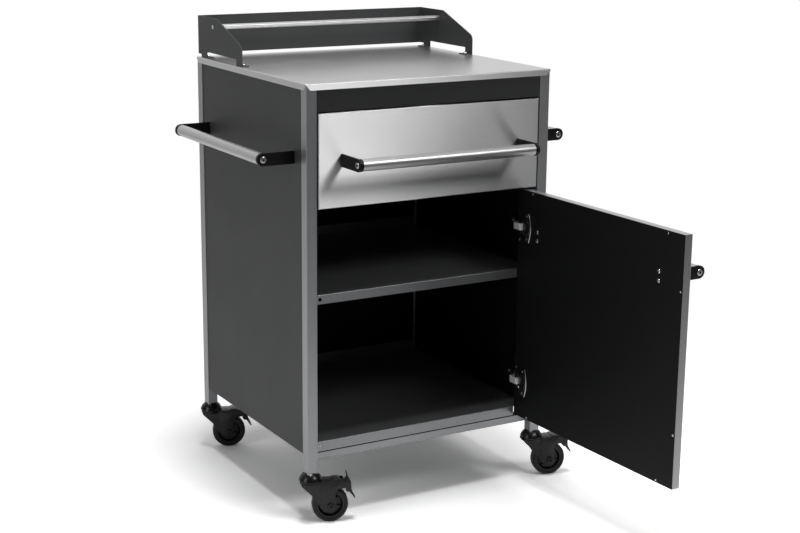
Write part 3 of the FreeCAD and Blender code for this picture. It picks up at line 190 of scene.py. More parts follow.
def brushed_metal(name, shade, roughness, along, streak, stretch=0.0):
    """Metal with fine scratches along one axis; stretch smears the gloss across them."""
    look = Look(name)
    look.base(Metallic=1.0, Anisotropic=stretch, Anisotropic_Rotation=0.25)
    scratches = look.noise(drawn_out(SCRATCH_ACROSS, SCRATCH_ALONG, along), detail=2.0)
    bands = look.noise(drawn_out(BAND_ACROSS, BAND_ALONG, along))
    cloud = look.noise((5.0, 5.0, 5.0), detail=2.0)
    look.colour(bands, grey(shade * (1.0 - 0.08 * streak)),
                grey(min(1.0, shade * (1.0 + 0.05 * streak))))
    spread = 0.10 * streak
    look.roughness(look.range(scratches, roughness - spread, roughness + spread),
                   look.range(cloud, -0.015, 0.02))
    look.bump(scratches, 0.08 * streak, 0.00002)
    return look.material


def powder_coat(name, shade, roughness, grain, tint=EVEN, metal=0.0, strength=0.25,
                gloss=1.47):
    """Baked paint with a fine grain and a slow drift of gloss."""
    look = Look(name)
    look.base(Metallic=metal, IOR=gloss)
    grains = look.noise(EVEN, size=grain, detail=2.0, roughness=0.6)
    cloud = look.noise(EVEN, size=6.0)
    dark, light = [tuple(shade * share * part for part in tint) + (1.0,)
                   for share in (0.86, 1.1)]
    look.colour(grains, dark, light)
    look.roughness(look.range(grains, roughness - 0.05, roughness + 0.05),
                   look.range(cloud, -0.03, 0.03))
    look.bump(grains, strength, 0.00008)
    return look.material


def moulded_plastic(name, shade, roughness, grain=1400.0, gloss=1.45):
    """Dark plastic with a fine eroded grain."""
    look = Look(name)
    look.base(IOR=gloss)
    grains = look.noise(EVEN, size=grain, roughness=0.6)
    cloud = look.noise(EVEN, size=25.0, detail=2.0)
    look.colour(cloud, grey(shade * 0.8), grey(shade * 1.25))
    look.roughness(look.range(grains, roughness - 0.06, roughness + 0.08))
    look.bump(grains, 0.2, 0.00006)
    return look.material


def bright_metal(name, shade, roughness):
    """Plated metal with faint turning marks."""
    look = Look(name)
    look.base(Metallic=1.0)
    marks = look.noise((900.0, 900.0, 900.0), detail=2.0)
    cloud = look.noise((60.0, 60.0, 60.0), detail=2.0)
    look.colour(cloud, grey(shade * 0.92), grey(min(1.0, shade * 1.05)))
    look.roughness(look.range(marks, roughness - 0.04, roughness + 0.06))
    look.bump(marks, 0.05, 0.00002)
    return look.material


SILVER = (0.98, 1.0, 1.03)
COOL_BLACK = (0.97, 1.0, 1.04)
WORKTOP_STEEL = brushed_metal("worktop_steel", 0.71, 0.31, "X", streak=0.3)
DRAWER_STEEL = brushed_metal("drawer_steel", 0.82, 0.46, "X", streak=0.15, stretch=1.0)
DOOR_STEEL = brushed_metal("door_steel", 0.58, 0.34, "Z", streak=0.2)
GRIP_METAL = brushed_metal("grip_metal", 0.60, 0.38, "X", streak=0.2)
SILVER_PAINT = powder_coat("silver_paint", 0.40, 0.36, 2200.0, SILVER, metal=0.75,
                           strength=0.12)
SHELF_PAINT = powder_coat("shelf_paint", 0.34, 0.33, 2200.0, SILVER, metal=0.8,
                          strength=0.12)
CHARCOAL_PAINT = powder_coat("charcoal_paint", 0.037, 0.50, 1500.0, COOL_BLACK)
# The fascia's copy of the charcoal paint, darker as painted shade
SHADED_CHARCOAL_PAINT = powder_coat("fascia_paint", 0.027, 0.50, 1500.0, COOL_BLACK)
# The upstand's copy of the charcoal paint, lighter as painted light
LIT_CHARCOAL_PAINT = powder_coat("black_paint", 0.048, 0.50, 1500.0, COOL_BLACK)
LINER_PAINT = powder_coat("liner_paint", 0.006, 0.50, 1700.0, COOL_BLACK, gloss=1.28)
BLACK_PLASTIC = moulded_plastic("black_plastic", 0.009, 0.30)
SOCKET_PLASTIC = moulded_plastic("socket_plastic", 0.006, 0.24, grain=500.0)
HANDLE_PLASTIC = moulded_plastic("handle_plastic", 0.004, 0.40, gloss=1.34)
WHEEL_PLASTIC = moulded_plastic("wheel_plastic", 0.006, 0.34, grain=900.0)
WHEEL_RUBBER = moulded_plastic("wheel_rubber", 0.008, 0.46, grain=900.0)
BRIGHT_SCREW = bright_metal("bright_screw", 0.80, 0.22)
# A darker copy of the screw metal for the screws inside the cabinet: painted shade
SHADED_SCREW = bright_metal("dull_screw", 0.34, 0.34)
# Dark metal for the inside of each screw's recess: painted shade
PAINTED_RECESS_SHADE = bright_metal("screw_socket", 0.05, 0.45)
NICKEL = bright_metal("nickel", 0.74, 0.20)
BLACK_NICKEL = bright_metal("black_nickel", 0.16, 0.30)
HINGE_ZINC = powder_coat("hinge_zinc", 0.80, 0.34, 1800.0, metal=0.35, strength=0.1)
RUNNER_ZINC = bright_metal("runner_zinc", 0.66, 0.30)

# The CAD nodes that show, by finish
FINISHES = [
    (WORKTOP_STEEL, ["worktop"]),
    (SHADED_CHARCOAL_PAINT, ["fascia"]),
    (CHARCOAL_PAINT, ["left_side_panel", "right_side_panel", "rear_panel"]),
    (LINER_PAINT, ["left_side_liner", "right_side_liner", "rear_liner", "door_liner"]),
    (SHELF_PAINT, ["middle_shelf", "bottom_shelf", "shelf_brackets"]),
    (SILVER_PAINT, ["front_bottom_rail", "rear_bottom_rail"]),
    (SILVER_PAINT, ["post_" + corner for corner in CORNERS]),
    (SILVER_PAINT, ["drawer_inner_front", "drawer_bottom", "drawer_left_side",
                    "drawer_right_side", "drawer_back"]),
    (LIT_CHARCOAL_PAINT, ["upstand"]),
    (GRIP_METAL, ["upstand_rod"]),
    (RUNNER_ZINC, ["runner_channels", "runner_middle_members", "runner_drawer_rails"]),
    (BLACK_NICKEL, ["hinge_plates"]),
    (SOCKET_PLASTIC, ["caster_sockets"]),
    (DRAWER_STEEL, ["drawer_front"]),
    (DOOR_STEEL, ["door_skin"]),
    (BLACK_PLASTIC, ["door_handle_backing"]),
]


def dress_nodes():
    for look, nodes in FINISHES:
        for node in nodes:
            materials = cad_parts[node].data.materials
            materials.clear()
            materials.append(look)


def dress_side(node, way, look, least):
    """Gives the faces of a CAD node that look about one way a finish of their own; below it
    paints light on the worktop's front and shade on the rail's top.
    """
    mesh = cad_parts[node].data
    mesh.materials.append(look)
    for face in mesh.polygons:
        if face.normal.dot(Vector(way)) > least:
            face.material_index = len(mesh.materials) - 1


# Shape helpers

TINY = 1e-6
STRAIGHT = 0.02
ARC_SHARE = 0.49


def rounded_outline(corners, steps=6):
    """Corner points (x, y, radius) turned into an outline with arcs."""
    outline = []
    count = len(corners)
    for index, (x, y, radius) in enumerate(corners):
        here = Vector((x, y))
        before = Vector(corners[index - 1][:2]) - here
        after = Vector(corners[(index + 1) % count][:2]) - here
        turn = before.angle(after, math.pi)
        if radius <= 0 or abs(turn - math.pi) < STRAIGHT:
            outline.append(here)
            continue
        reach = radius / math.tan(turn / 2)
        reach = min(reach, before.length * ARC_SHARE, after.length * ARC_SHARE)
        radius = reach * math.tan(turn / 2)
        start = here + before.normalized() * reach
        end = here + after.normalized() * reach
        middle = (before.normalized() + after.normalized()).normalized()
        centre = here + middle * (radius / math.sin(turn / 2))
        first = (start - centre).normalized()
        last = (end - centre).normalized()
        sweep = first.angle(last)
        side = 1.0 if first.x * last.y - first.y * last.x > 0 else -1.0
        for step in range(steps + 1):
            angle = side * sweep * step / steps
            spoke = Vector((first.x * math.cos(angle) - first.y * math.sin(angle),
                            first.x * math.sin(angle) + first.y * math.cos(angle)))
            outline.append(centre + spoke * radius)
    return outline


PLANES = {
    "XZ": (Vector((1, 0, 0)), Vector((0, 0, 1)), Vector((0, 1, 0))),
    "XY": (Vector((1, 0, 0)), Vector((0, 1, 0)), Vector((0, 0, 1))),
    "YZ": (Vector((0, 1, 0)), Vector((0, 0, 1)), Vector((1, 0, 0))),
}


def soften(shape, edges, width, steps):
    bmesh.ops.bevel(shape, geom=list(edges), offset=width, segments=steps, profile=0.5,
                    affect="EDGES", clamp_overlap=True)


def close_walls(shape, rings):
    """The faces that join each ring of points to the next, and close both ends."""
    faces = [shape.faces.new(rings[0]), shape.faces.new(list(reversed(rings[-1])))]
    for first, second in zip(rings, rings[1:]):
        for step in range(len(first)):
            after = (step + 1) % len(first)
            faces.append(shape.faces.new((first[after], first[step], second[step],
                                          second[after])))
    bmesh.ops.recalc_face_normals(shape, faces=faces)
    return faces


def add_prism(shape, outline, plane, low, high, soft=0.0, steps=2):
    """Adds an outline in one plane, thickened from low to high across it."""
    along, up, across = PLANES[plane]
    faces = close_walls(shape, [[shape.verts.new(along * p[0] + up * p[1] + across * level)
                                 for p in outline] for level in (low, high)])
    if soft > 0:
        soften(shape, {edge for face in faces[:2] for edge in face.edges}, soft, steps)


def add_block(shape, low, high, soft):
    """Adds a block between two corners, all its edges softened."""
    made = bmesh.ops.create_cube(shape, size=1.0)["verts"]
    bmesh.ops.scale(shape, vec=Vector(high) - Vector(low), verts=made)
    bmesh.ops.translate(shape, vec=(Vector(low) + Vector(high)) / 2, verts=made)
    soften(shape, {edge for vert in made for edge in vert.link_edges}, soft, 2)


def add_lathe(shape, profile, centre, axis, steps=72):
    """Adds a turned form; profile points are (distance along the axis, radius)."""
    axis = Vector(axis).normalized()
    side = axis.orthogonal().normalized()
    other = axis.cross(side)
    centre = Vector(centre)
    rings = []
    for along, radius in profile:
        if radius < TINY:
            rings.append([shape.verts.new(centre + axis * along)])
            continue
        ring = []
        for step in range(steps):
            angle = 2 * math.pi * step / steps
            spoke = side * math.cos(angle) + other * math.sin(angle)
            ring.append(shape.verts.new(centre + axis * along + spoke * radius))
        rings.append(ring)
    faces = []
    for first, second in zip(rings, rings[1:]):
        for step in range(steps):
            after = (step + 1) % steps
            corners = []
            for ring, place in ((first, step), (first, after), (second, after),
                                (second, step)):
                vert = ring[place % len(ring)]
                if vert not in corners:
                    corners.append(vert)
            if len(corners) > 2:
                faces.append(shape.faces.new(corners))
    bmesh.ops.recalc_face_normals(shape, faces=faces)


def add_bead(shape, path, radius, steps=14):
    """Adds a round bead along a path of points, closed at both ends."""
    rings = []
    for index, point in enumerate(path):
        before = path[max(index - 1, 0)]
        after = path[min(index + 1, len(path) - 1)]
        along = (after - before).normalized()
        side = along.cross(Vector((0, 1, 0))).normalized()
        up = side.cross(along)
        turns = [2 * math.pi * step / steps for step in range(steps)]
        rings.append([shape.verts.new(point + side * radius * math.cos(turn)
                                      + up * radius * math.sin(turn)) for turn in turns])
    close_walls(shape, rings)


def make_piece(name, shape, look, body, nodes, place=None, sharp=32):
    """Turns a shape into a finished piece that rides on a body and stands for nodes."""
    if place is not None:
        bmesh.ops.transform(shape, matrix=place, verts=shape.verts)
    mesh = bpy.data.meshes.new(name)
    shape.to_mesh(mesh)
    shape.free()
    for face in mesh.polygons:
        face.use_smooth = True
    mesh.set_sharp_from_angle(angle=math.radians(sharp))
    for each in (look if isinstance(look, list) else [look]):
        mesh.materials.append(each)
    piece = bpy.data.objects.new(name, mesh)
    bpy.context.collection.objects.link(piece)
    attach(piece, body)
    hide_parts(*nodes)


def mm_points(points):
    return [tuple(value * 0.001 for value in point) for point in points]


# Casters, drawn with the swivel axis at x = y = 0, the wheel towards +X and
# heights above the floor

WHEEL_CENTRE = (0.0425, 0.0, 0.040)
LEVER_PIVOT = (0.068, 0, 0.086)
SCREW_CAP = (0.036, 0.0, 0.096)
RING_MIDDLE = (0, 0, 0.0932)
CHEEK_SPAN = (0.0145, 0.0175)
PANEL_SPAN = (0.0165, 0.0186)
PLATE_HALF = 0.0165
WEB_HALF = 0.0155
BLOCK_HALF = 0.0121
UPPER_HALF = 0.0095
LOWER_HALF = 0.0105
BLADE_RIB_HALF = 0.0007
BLADE_RIBS_Y = (-0.007, 0.0, 0.007)
HUB_RIBS = 6
HUB_RIB_FIRST = 15
CHEEK = mm_points([(-18, 96, 2), (-22, 92, 2), (-22, 88, 3), (1, 65, 8), (13, 47, 14),
                   (29, 27, 12), (42.5, 22.5, 12), (56.5, 29, 11), (54, 52, 8), (53, 71, 6),
                   (60, 77, 4), (75, 79, 2), (75, 92, 2), (71, 96, 2)])
CHEEK_PANEL = mm_points([(19, 91.5, 2), (19, 62, 12), (28, 33, 13), (42.5, 25, 13),
                         (55, 32, 11), (52.4, 52, 8), (51.4, 72, 6), (58, 80, 3),
                         (62, 82, 2), (62, 91.5, 2)])
FORK_PLATE = mm_points([(-17, 93, 0), (-17, 96, 1), (44, 96, 3), (48, 98.2, 3),
                        (61, 98.2, 3), (66, 95.6, 2), (66, 93, 0)])
FORK_WEB = mm_points([(-21.5, 88.2, 0), (0.5, 66.2, 0), (2.2, 68.4, 0), (-16, 95, 0),
                      (-18, 95, 0), (-21.5, 91.5, 0)])
CAP_PROFILE = mm_points([(0, 0), (0.5, 1.6), (0.6, 2.6), (-0.2, 3.0), (-0.8, 3.4), (-0.8, 0)])
RING_PROFILE = mm_points([(-4.5, 20), (-4.5, 23.2), (-3.8, 24), (-0.8, 24), (-0.2, 23.4),
                          (-0.2, 22.2), (0.6, 22.2), (0.6, 23.4), (1.2, 24), (4.0, 24),
                          (4.7, 23.3), (4.7, 20), (-4.5, 20)])
AXLE_HEAD = mm_points([(14.0, 0), (14.0, 4), (17.6, 4), (17.6, 9.2), (18.8, 9.4),
                       (18.8, 7.4), (20.6, 7.4), (21.8, 6.8), (22.4, 5.6), (22.4, 3.6),
                       (21.9, 3.2), (19.6, 3.2), (19.6, 0)])
TYRE_HALF = mm_points([(0.0, 40.0), (7.4, 39.9), (9.2, 39.5), (11.0, 38.4), (12.2, 36.8),
                       (12.8, 35.0), (13.0, 33.6), (12.9, 32.4), (12.2, 32.0),
                       (11.6, 32.0)])
HUB_HALF = mm_points([(14.1, 4.2), (14.1, 9.6), (13.5, 10.2), (5.2, 11.8), (4.0, 13.0),
                      (4.0, 23.6), (5.0, 25.0), (10.6, 26.4), (11.4, 27.2), (11.6, 31.0),
                      (11.4, 32.4)])
HUB_RIB = mm_points([(10.4, 3.2, -0.9), (26.0, 8.4, 0.9)])
LEVER_BLOCK = mm_points([(68.5, 80.5, 1), (74, 80, 1), (78.8, 67.8, 1), (84.2, 67.2, 1.5),
                         (89.5, 70, 1.5), (88.6, 90, 3), (84.2, 97.2, 2), (79.5, 97.4, 1.5),
                         (75.5, 92.6, 2), (68.5, 92.4, 1)])
UPPER_BLADE = mm_points([(80.2, 95, 0), (77.4, 112, 0.8), (79.4, 112.5, 0.8), (84.0, 96, 0)])
LOWER_BLADE = mm_points([(84.0, 68.6, 0), (96.6, 51.2, 0.9), (98.7, 52.6, 0.9),
                         (88.6, 70.8, 0)])
BLADE_RIB = mm_points([(88.4, 74, 0), (90.4, 70, 0.4), (97.4, 54, 0.4), (96.0, 53.4, 0),
                       (86, 68, 0)])
LEVER_HUB = mm_points([(-14.1, 0), (-14.1, 5.4), (-13.6, 5.9), (13.6, 5.9), (14.1, 5.4),
                       (14.1, 0)])
LEVER_PIN = mm_points([(-17.4, 0), (-17.4, 2.4), (17.4, 2.4), (17.4, 0)])


def caster_fork():
    """Two cheeks with raised panels, the plate over the wheel and the web behind it."""
    shape = bmesh.new()
    cheek = rounded_outline(CHEEK)
    panel = rounded_outline(CHEEK_PANEL)
    for side in (-1, 1):
        add_prism(shape, cheek, "XZ", *[side * y for y in CHEEK_SPAN], soft=0.0006)
        add_prism(shape, panel, "XZ", *[side * y for y in PANEL_SPAN], soft=0.0008)
    add_prism(shape, rounded_outline(FORK_PLATE), "XZ", -PLATE_HALF, PLATE_HALF, soft=0.0007)
    add_lathe(shape, CAP_PROFILE, SCREW_CAP, (0, 0, 1), steps=24)
    add_prism(shape, rounded_outline(FORK_WEB), "XZ", -WEB_HALF, WEB_HALF)
    return shape


def caster_ring():
    """The glossy ring that turns under the socket."""
    shape = bmesh.new()
    add_lathe(shape, RING_PROFILE, RING_MIDDLE, (0, 0, 1), steps=96)
    return shape


def caster_axle():
    """The axle bolt: two domed heads, each with a round socket where the bolt has a hexagon
    socket.
    """
    shape = bmesh.new()
    for side in (-1, 1):
        add_lathe(shape, AXLE_HEAD, WHEEL_CENTRE, (0, side, 0), steps=48)
    return shape


def caster_tyre():
    shape = bmesh.new()
    profile = [(-along, radius) for along, radius in reversed(TYRE_HALF[1:])] + TYRE_HALF
    add_lathe(shape, profile + profile[:1], WHEEL_CENTRE, (0, 1, 0), steps=128)
    return shape


def caster_hub():
    """The wheel's core: a rim, a dished web with ribs and a long hub."""
    shape = bmesh.new()
    profile = HUB_HALF + [(-along, radius) for along, radius in reversed(HUB_HALF)]
    add_lathe(shape, profile + HUB_HALF[:1], WHEEL_CENTRE, (0, 1, 0), steps=128)
    for side in (-1, 1):
        for index in range(HUB_RIBS):
            rib = bmesh.new()
            add_block(rib, *HUB_RIB, soft=0.0004)
            degrees = 360 / HUB_RIBS * index + HUB_RIB_FIRST
            turn = Matrix.Rotation(math.radians(degrees), 4, "Y")
            flip = Matrix.Scale(side, 4, (0, 1, 0))
            bmesh.ops.transform(rib, matrix=Matrix.Translation(WHEEL_CENTRE) @ turn @ flip,
                                verts=rib.verts)
            if side < 0:
                bmesh.ops.reverse_faces(rib, faces=rib.faces)
            mesh = bpy.data.meshes.new("rib")
            rib.to_mesh(mesh)
            rib.free()
            shape.from_mesh(mesh)
            bpy.data.meshes.remove(mesh)
    return shape


def caster_lever():
    """The foot lever: a hub, a block over the tyre and two thin blades."""
    shape = bmesh.new()
    for outline, steps, half, soft in ((LEVER_BLOCK, 6, BLOCK_HALF, 0.0008),
                                       (UPPER_BLADE, 4, UPPER_HALF, 0.0005),
                                       (LOWER_BLADE, 4, LOWER_HALF, 0.0005)):
        add_prism(shape, rounded_outline(outline, steps), "XZ", -half, half, soft)
    for y in BLADE_RIBS_Y:
        add_prism(shape, rounded_outline(BLADE_RIB, 3), "XZ", y - BLADE_RIB_HALF,
                  y + BLADE_RIB_HALF, soft=0.0003)
    add_lathe(shape, LEVER_HUB, LEVER_PIVOT, (0, 1, 0), steps=40)
    add_lathe(shape, LEVER_PIN, LEVER_PIVOT, (0, 1, 0), steps=24)
    return shape


# A caster's pieces: shape, finish, slot, and the ends of the body's and node's names
CASTER_PIECES = {
    "fork": (caster_fork, BLACK_PLASTIC, "black_plastic", "_swivel", "_fork"),
    "ring": (caster_ring, SOCKET_PLASTIC, "black_plastic", "_swivel", "_fork"),
    "axle": (caster_axle, WHEEL_PLASTIC, "black_plastic", "_swivel", "_fork"),
    "tyre": (caster_tyre, WHEEL_RUBBER, "wheel_rubber", "_wheel", "_wheel"),
    "hub": (caster_hub, WHEEL_PLASTIC, "wheel_rubber", "_wheel", "_wheel"),
    "lever": (caster_lever, BLACK_PLASTIC, "black_plastic", "_brake", "_brake"),
}


def make_casters():
    for corner, (side_x, side_y, heading) in CORNERS.items():
        place = (Matrix.Translation((side_x * POST_X, side_y * POST_Y, FLOOR))
                 @ Matrix.Rotation(math.radians(heading), 4, "Z"))
        for name, (shape, look, slot_name, body, node) in CASTER_PIECES.items():
            make_piece(corner + "_caster_" + name, shape(), look, corner + body,
                       [corner + node], place)


# Screws and grips, made by rules

class Rule(Tree):
    """A geometry tree under construction, with a named input for each size."""

    def __init__(self, name, sizes):
        super().__init__(bpy.data.node_groups.new(name, "GeometryNodeTree"))
        face = self.tree.interface
        face.new_socket("Geometry", in_out="INPUT", socket_type="NodeSocketGeometry")
        self.sockets = {}
        for size, value in sizes.items():
            socket = face.new_socket(size, in_out="INPUT", socket_type="NodeSocketFloat")
            socket.default_value = value
            self.sockets[size] = socket.identifier
        face.new_socket("Geometry", in_out="OUTPUT", socket_type="NodeSocketGeometry")
        self.start = self.add("NodeGroupInput")
        self.end = self.add("NodeGroupOutput")

    def size(self, name):
        return self.start.outputs[name]

    def curve(self, value, points):
        """A value looked up on a curve through (from, to) points."""
        node = self.add("ShaderNodeFloatCurve", {"Value": value})
        line = node.mapping.curves[0]
        for place in points[1:-1]:
            line.points.new(*place)
        line.points[0].location = points[0]
        line.points[-1].location = points[-1]
        for point in line.points:
            point.handle_type = "VECTOR"
        node.mapping.update()
        return node.outputs["Value"]

    def vector(self, **parts):
        return self.add("ShaderNodeCombineXYZ", parts).outputs["Vector"]

    def on_points(self, instance, rotation=None):
        """A shape on every point that comes in, turned if a rotation is given."""
        points = self.add("GeometryNodeMeshToPoints", {"Mesh": self.start.outputs["Geometry"]})
        inputs = {"Points": points.outputs["Points"], "Instance": instance}
        if rotation is not None:
            inputs["Rotation"] = rotation
        return self.add("GeometryNodeInstanceOnPoints", inputs).outputs["Instances"]

    def finish(self, geometry, look, shade_look=None):
        """Real geometry in one look, and faces marked "recess" in another, darker one that is
        painted shade.
        """
        real = self.add("GeometryNodeRealizeInstances", {"Geometry": geometry})
        dressed = self.add("GeometryNodeSetMaterial", {"Geometry": real.outputs["Geometry"],
                                                       "Material": look})
        if shade_look:
            mark = self.add("GeometryNodeInputNamedAttribute", {"Name": "recess"},
                            data_type="BOOLEAN")
            dressed = self.add("GeometryNodeSetMaterial",
                               {"Geometry": dressed.outputs["Geometry"],
                                "Selection": mark.outputs["Attribute"],
                                "Material": shade_look})
        self.link(dressed.outputs["Geometry"], self.end.inputs["Geometry"])


# A screw head as it is turned, from its middle (0) to its rim (1)
HEAD_SIDES = 48
SHANK_SIDES = 20
HEAD_RINGS = 10
RECESS_EDGE = 0.28
RECESS_WALL = 0.34
HEAD_RADII = [(0.0, 0.0), (0.1, 0.16), (0.2, 0.34), (0.3, 0.37), (0.4, 0.42), (0.5, 0.60),
              (0.6, 0.74), (0.7, 0.86), (0.8, 0.94), (0.9, 0.985), (1.0, 1.0)]
HEAD_HEIGHTS = [(0.0, 0.34), (0.1, 0.34), (0.2, 0.36), (0.3, 0.97), (0.4, 1.0), (0.5, 0.98),
                (0.6, 0.94), (0.7, 0.86), (0.8, 0.74), (0.9, 0.56), (1.0, 0.36)]

# Screw sizes; four lobes make a cross, six a round hexagon
SMALL_SCREW = {"Head Radius": 0.0025, "Head Height": 0.0007, "Recess Lobes": 4.0,
               "Recess Depth": 0.6, "Shank Radius": 0.0013, "Shank Length": 0.006}
MEDIUM_SCREW = {"Head Radius": 0.0045, "Head Height": 0.0024, "Recess Lobes": 4.0,
                "Recess Depth": 0.6, "Shank Radius": 0.002, "Shank Length": 0.008}
GRIP_SCREW = {"Head Radius": 0.007, "Head Height": 0.002, "Recess Lobes": 6.0,
              "Recess Depth": 0.13, "Shank Radius": 0.003, "Shank Length": 0.024}
FOOT_BOLT = {"Head Radius": 0.005, "Head Height": 0.004, "Recess Lobes": 6.0,
             "Recess Depth": 0.13, "Shank Radius": 0.0025, "Shank Length": 0.010}
ROD_SCREW = {"Head Radius": 0.0045, "Head Height": 0.0022, "Recess Lobes": 6.0,
             "Recess Depth": 0.13, "Shank Radius": 0.002, "Shank Length": 0.016}


def screw_rule(name, look):
    """Turned heads with a keyed recess and a shank, one on every point."""
    rule = Rule(name, MEDIUM_SCREW)
    head = rule.add("GeometryNodeMeshCylinder", {"Vertices": HEAD_SIDES, "Side Segments": 1,
                                                 "Fill Segments": HEAD_RINGS, "Radius": 1.0,
                                                 "Depth": 2.0})
    place = rule.add("GeometryNodeInputPosition").outputs["Position"]
    parts = rule.add("ShaderNodeSeparateXYZ", {"Vector": place})
    flat = rule.vector(X=parts.outputs["X"], Y=parts.outputs["Y"])
    reach = rule.add("ShaderNodeVectorMath", {0: flat}, operation="LENGTH")
    ring = reach.outputs["Value"]
    angle = rule.math("ARCTAN2", parts.outputs["Y"], parts.outputs["X"])
    wave = rule.math("COSINE", rule.math("MULTIPLY", angle, rule.size("Recess Lobes")))
    waist = rule.math("MULTIPLY", rule.math("SUBTRACT", wave, 1.0),
                      rule.math("MULTIPLY", rule.size("Recess Depth"), 0.5))
    inside = rule.math("LESS_THAN", ring, RECESS_WALL)
    squeeze = rule.math("ADD", rule.math("MULTIPLY", waist, inside), 1.0)
    radius = rule.math("MULTIPLY", rule.curve(ring, HEAD_RADII), rule.size("Head Radius"))
    radius = rule.math("MULTIPLY", radius, squeeze)
    way = rule.add("ShaderNodeVectorMath", {0: flat}, operation="NORMALIZE")
    spread = rule.add("ShaderNodeVectorMath", {0: way.outputs["Vector"], "Scale": radius},
                      operation="SCALE")
    top = rule.math("GREATER_THAN", parts.outputs["Z"], 0.0)
    height = rule.math("MULTIPLY", rule.curve(ring, HEAD_HEIGHTS), rule.size("Head Height"))
    lift = rule.vector(Z=rule.math("MULTIPLY", height, top))
    placed = rule.add("ShaderNodeVectorMath", {0: spread.outputs["Vector"], 1: lift},
                      operation="ADD")
    # The faces inside the recess, which take the dark metal as painted shade
    shaded_recess = rule.math("MULTIPLY", rule.math("LESS_THAN", ring, RECESS_EDGE), top)
    marked = rule.add("GeometryNodeStoreNamedAttribute",
                      {"Geometry": head.outputs["Mesh"], "Name": "recess", "Value": shaded_recess},
                      data_type="BOOLEAN", domain="FACE")
    turned = rule.add("GeometryNodeSetPosition", {"Geometry": marked.outputs["Geometry"],
                                                  "Position": placed.outputs["Vector"]})
    shank = rule.add("GeometryNodeMeshCylinder", {"Vertices": SHANK_SIDES,
                                                  "Radius": rule.size("Shank Radius"),
                                                  "Depth": rule.size("Shank Length")})
    sink = rule.vector(Z=rule.math("MULTIPLY", rule.size("Shank Length"), -0.5))
    sunk = rule.add("GeometryNodeTransform", {"Geometry": shank.outputs["Mesh"],
                                              "Translation": sink})
    whole = rule.add("GeometryNodeJoinGeometry", {"Geometry": turned.outputs["Geometry"]})
    rule.link(sunk.outputs["Geometry"], whole.inputs["Geometry"])
    facing = rule.add("GeometryNodeInputNamedAttribute", {"Name": "facing"},
                      data_type="FLOAT_VECTOR")
    aim = rule.add("FunctionNodeAlignRotationToVector",
                   {"Vector": facing.outputs["Attribute"]}, axis="Z")
    rule.finish(rule.on_points(whole.outputs["Geometry"], aim.outputs["Rotation"]), look,
                PAINTED_RECESS_SHADE)
    return rule


def by_rule(name, rule, seats, sizes, body, nodes, place=None):
    """Runs a rule on its seats (place, facing) and keeps the plain mesh."""
    mesh = bpy.data.meshes.new(name + "_seats")
    mesh.from_pydata([seat for seat, _ in seats], [], [])
    facing = mesh.attributes.new("facing", "FLOAT_VECTOR", "POINT")
    for index, (_, way) in enumerate(seats):
        facing.data[index].vector = way
    carrier = bpy.data.objects.new(name + "_seats", mesh)
    bpy.context.collection.objects.link(carrier)
    modifier = carrier.modifiers.new("rule", "NODES")
    modifier.node_group = rule.tree
    for size, value in sizes.items():
        modifier[rule.sockets[size]] = value
    bpy.context.view_layer.update()
    graph = bpy.context.evaluated_depsgraph_get()
    made = bpy.data.meshes.new_from_object(carrier.evaluated_get(graph))
    carrier.modifiers.remove(modifier)
    bpy.data.objects.remove(carrier)
    looks = [look for look in made.materials if look]
    empty = len(made.materials) - len(looks)
    shape = bmesh.new()
    shape.from_mesh(made)
    for face in shape.faces:
        face.material_index -= empty
    bmesh.ops.remove_doubles(shape, verts=shape.verts, dist=TINY)
    bmesh.ops.dissolve_degenerate(shape, edges=shape.edges, dist=TINY)
    bmesh.ops.recalc_face_normals(shape, faces=shape.faces)
    bpy.data.meshes.remove(made)
    make_piece(name, shape, looks, body, nodes, place, sharp=30)


# Bar handles, drawn on a face at y = 0 that looks to -Y

ARM_OUTER = 0.224
ARM_THICK = 0.0045
ARM_HALF = 0.01375
ARM_NOSE = ARM_HALF * 0.995
STANDOFF = 0.0725
COLLAR_THICK = 0.0045
COLLAR = [(0.0, 0.0), (0.0, 0.0134), (0.0005, 0.0137), (0.0026, 0.0137), (0.0030, 0.0133),
          (0.0030, 0.0122), (0.0037, 0.0122), (0.0037, 0.0132), (COLLAR_THICK, 0.0133),
          (COLLAR_THICK, 0.0)]
GRIP_SIDES = 96
GRIP_POINTS = 24
GRIP_END = 0.0001
GRIP_SIZES = {"Grip Radius": 0.013, "Grip Length": 2 * (ARM_OUTER - ARM_THICK - COLLAR_THICK),
              "Broken Edge": 0.0004}


def grip_rule(name, look):
    """A straight tube along X on every point, its ends slightly broken."""
    rule = Rule(name, GRIP_SIZES)
    half = rule.math("MULTIPLY", rule.size("Grip Length"), 0.5)
    line = rule.add("GeometryNodeCurvePrimitiveLine",
                    {"Start": rule.vector(X=rule.math("MULTIPLY", half, -1.0)),
                     "End": rule.vector(X=half)})
    spaced = rule.add("GeometryNodeResampleCurve", {"Curve": line.outputs["Curve"],
                                                    "Count": GRIP_POINTS})
    place = rule.add("GeometryNodeInputPosition").outputs["Position"]
    parts = rule.add("ShaderNodeSeparateXYZ", {"Vector": place})
    middle = rule.math("LESS_THAN", rule.math("ABSOLUTE", parts.outputs["X"]),
                       rule.math("SUBTRACT", half, GRIP_END))
    broken = rule.math("MULTIPLY", rule.size("Broken Edge"),
                       rule.math("SUBTRACT", 1.0, middle))
    radius = rule.math("SUBTRACT", rule.size("Grip Radius"), broken)
    ring = rule.add("GeometryNodeCurvePrimitiveCircle", {"Resolution": GRIP_SIDES,
                                                         "Radius": 1.0})
    sized = rule.add("GeometryNodeSetCurveRadius", {"Curve": spaced.outputs["Curve"],
                                                    "Radius": radius})
    tube = rule.add("GeometryNodeCurveToMesh", {"Curve": sized.outputs["Curve"],
                                                "Profile Curve": ring.outputs["Curve"],
                                                "Scale": radius, "Fill Caps": True})
    rule.finish(rule.on_points(tube.outputs["Mesh"]), look)
    return rule


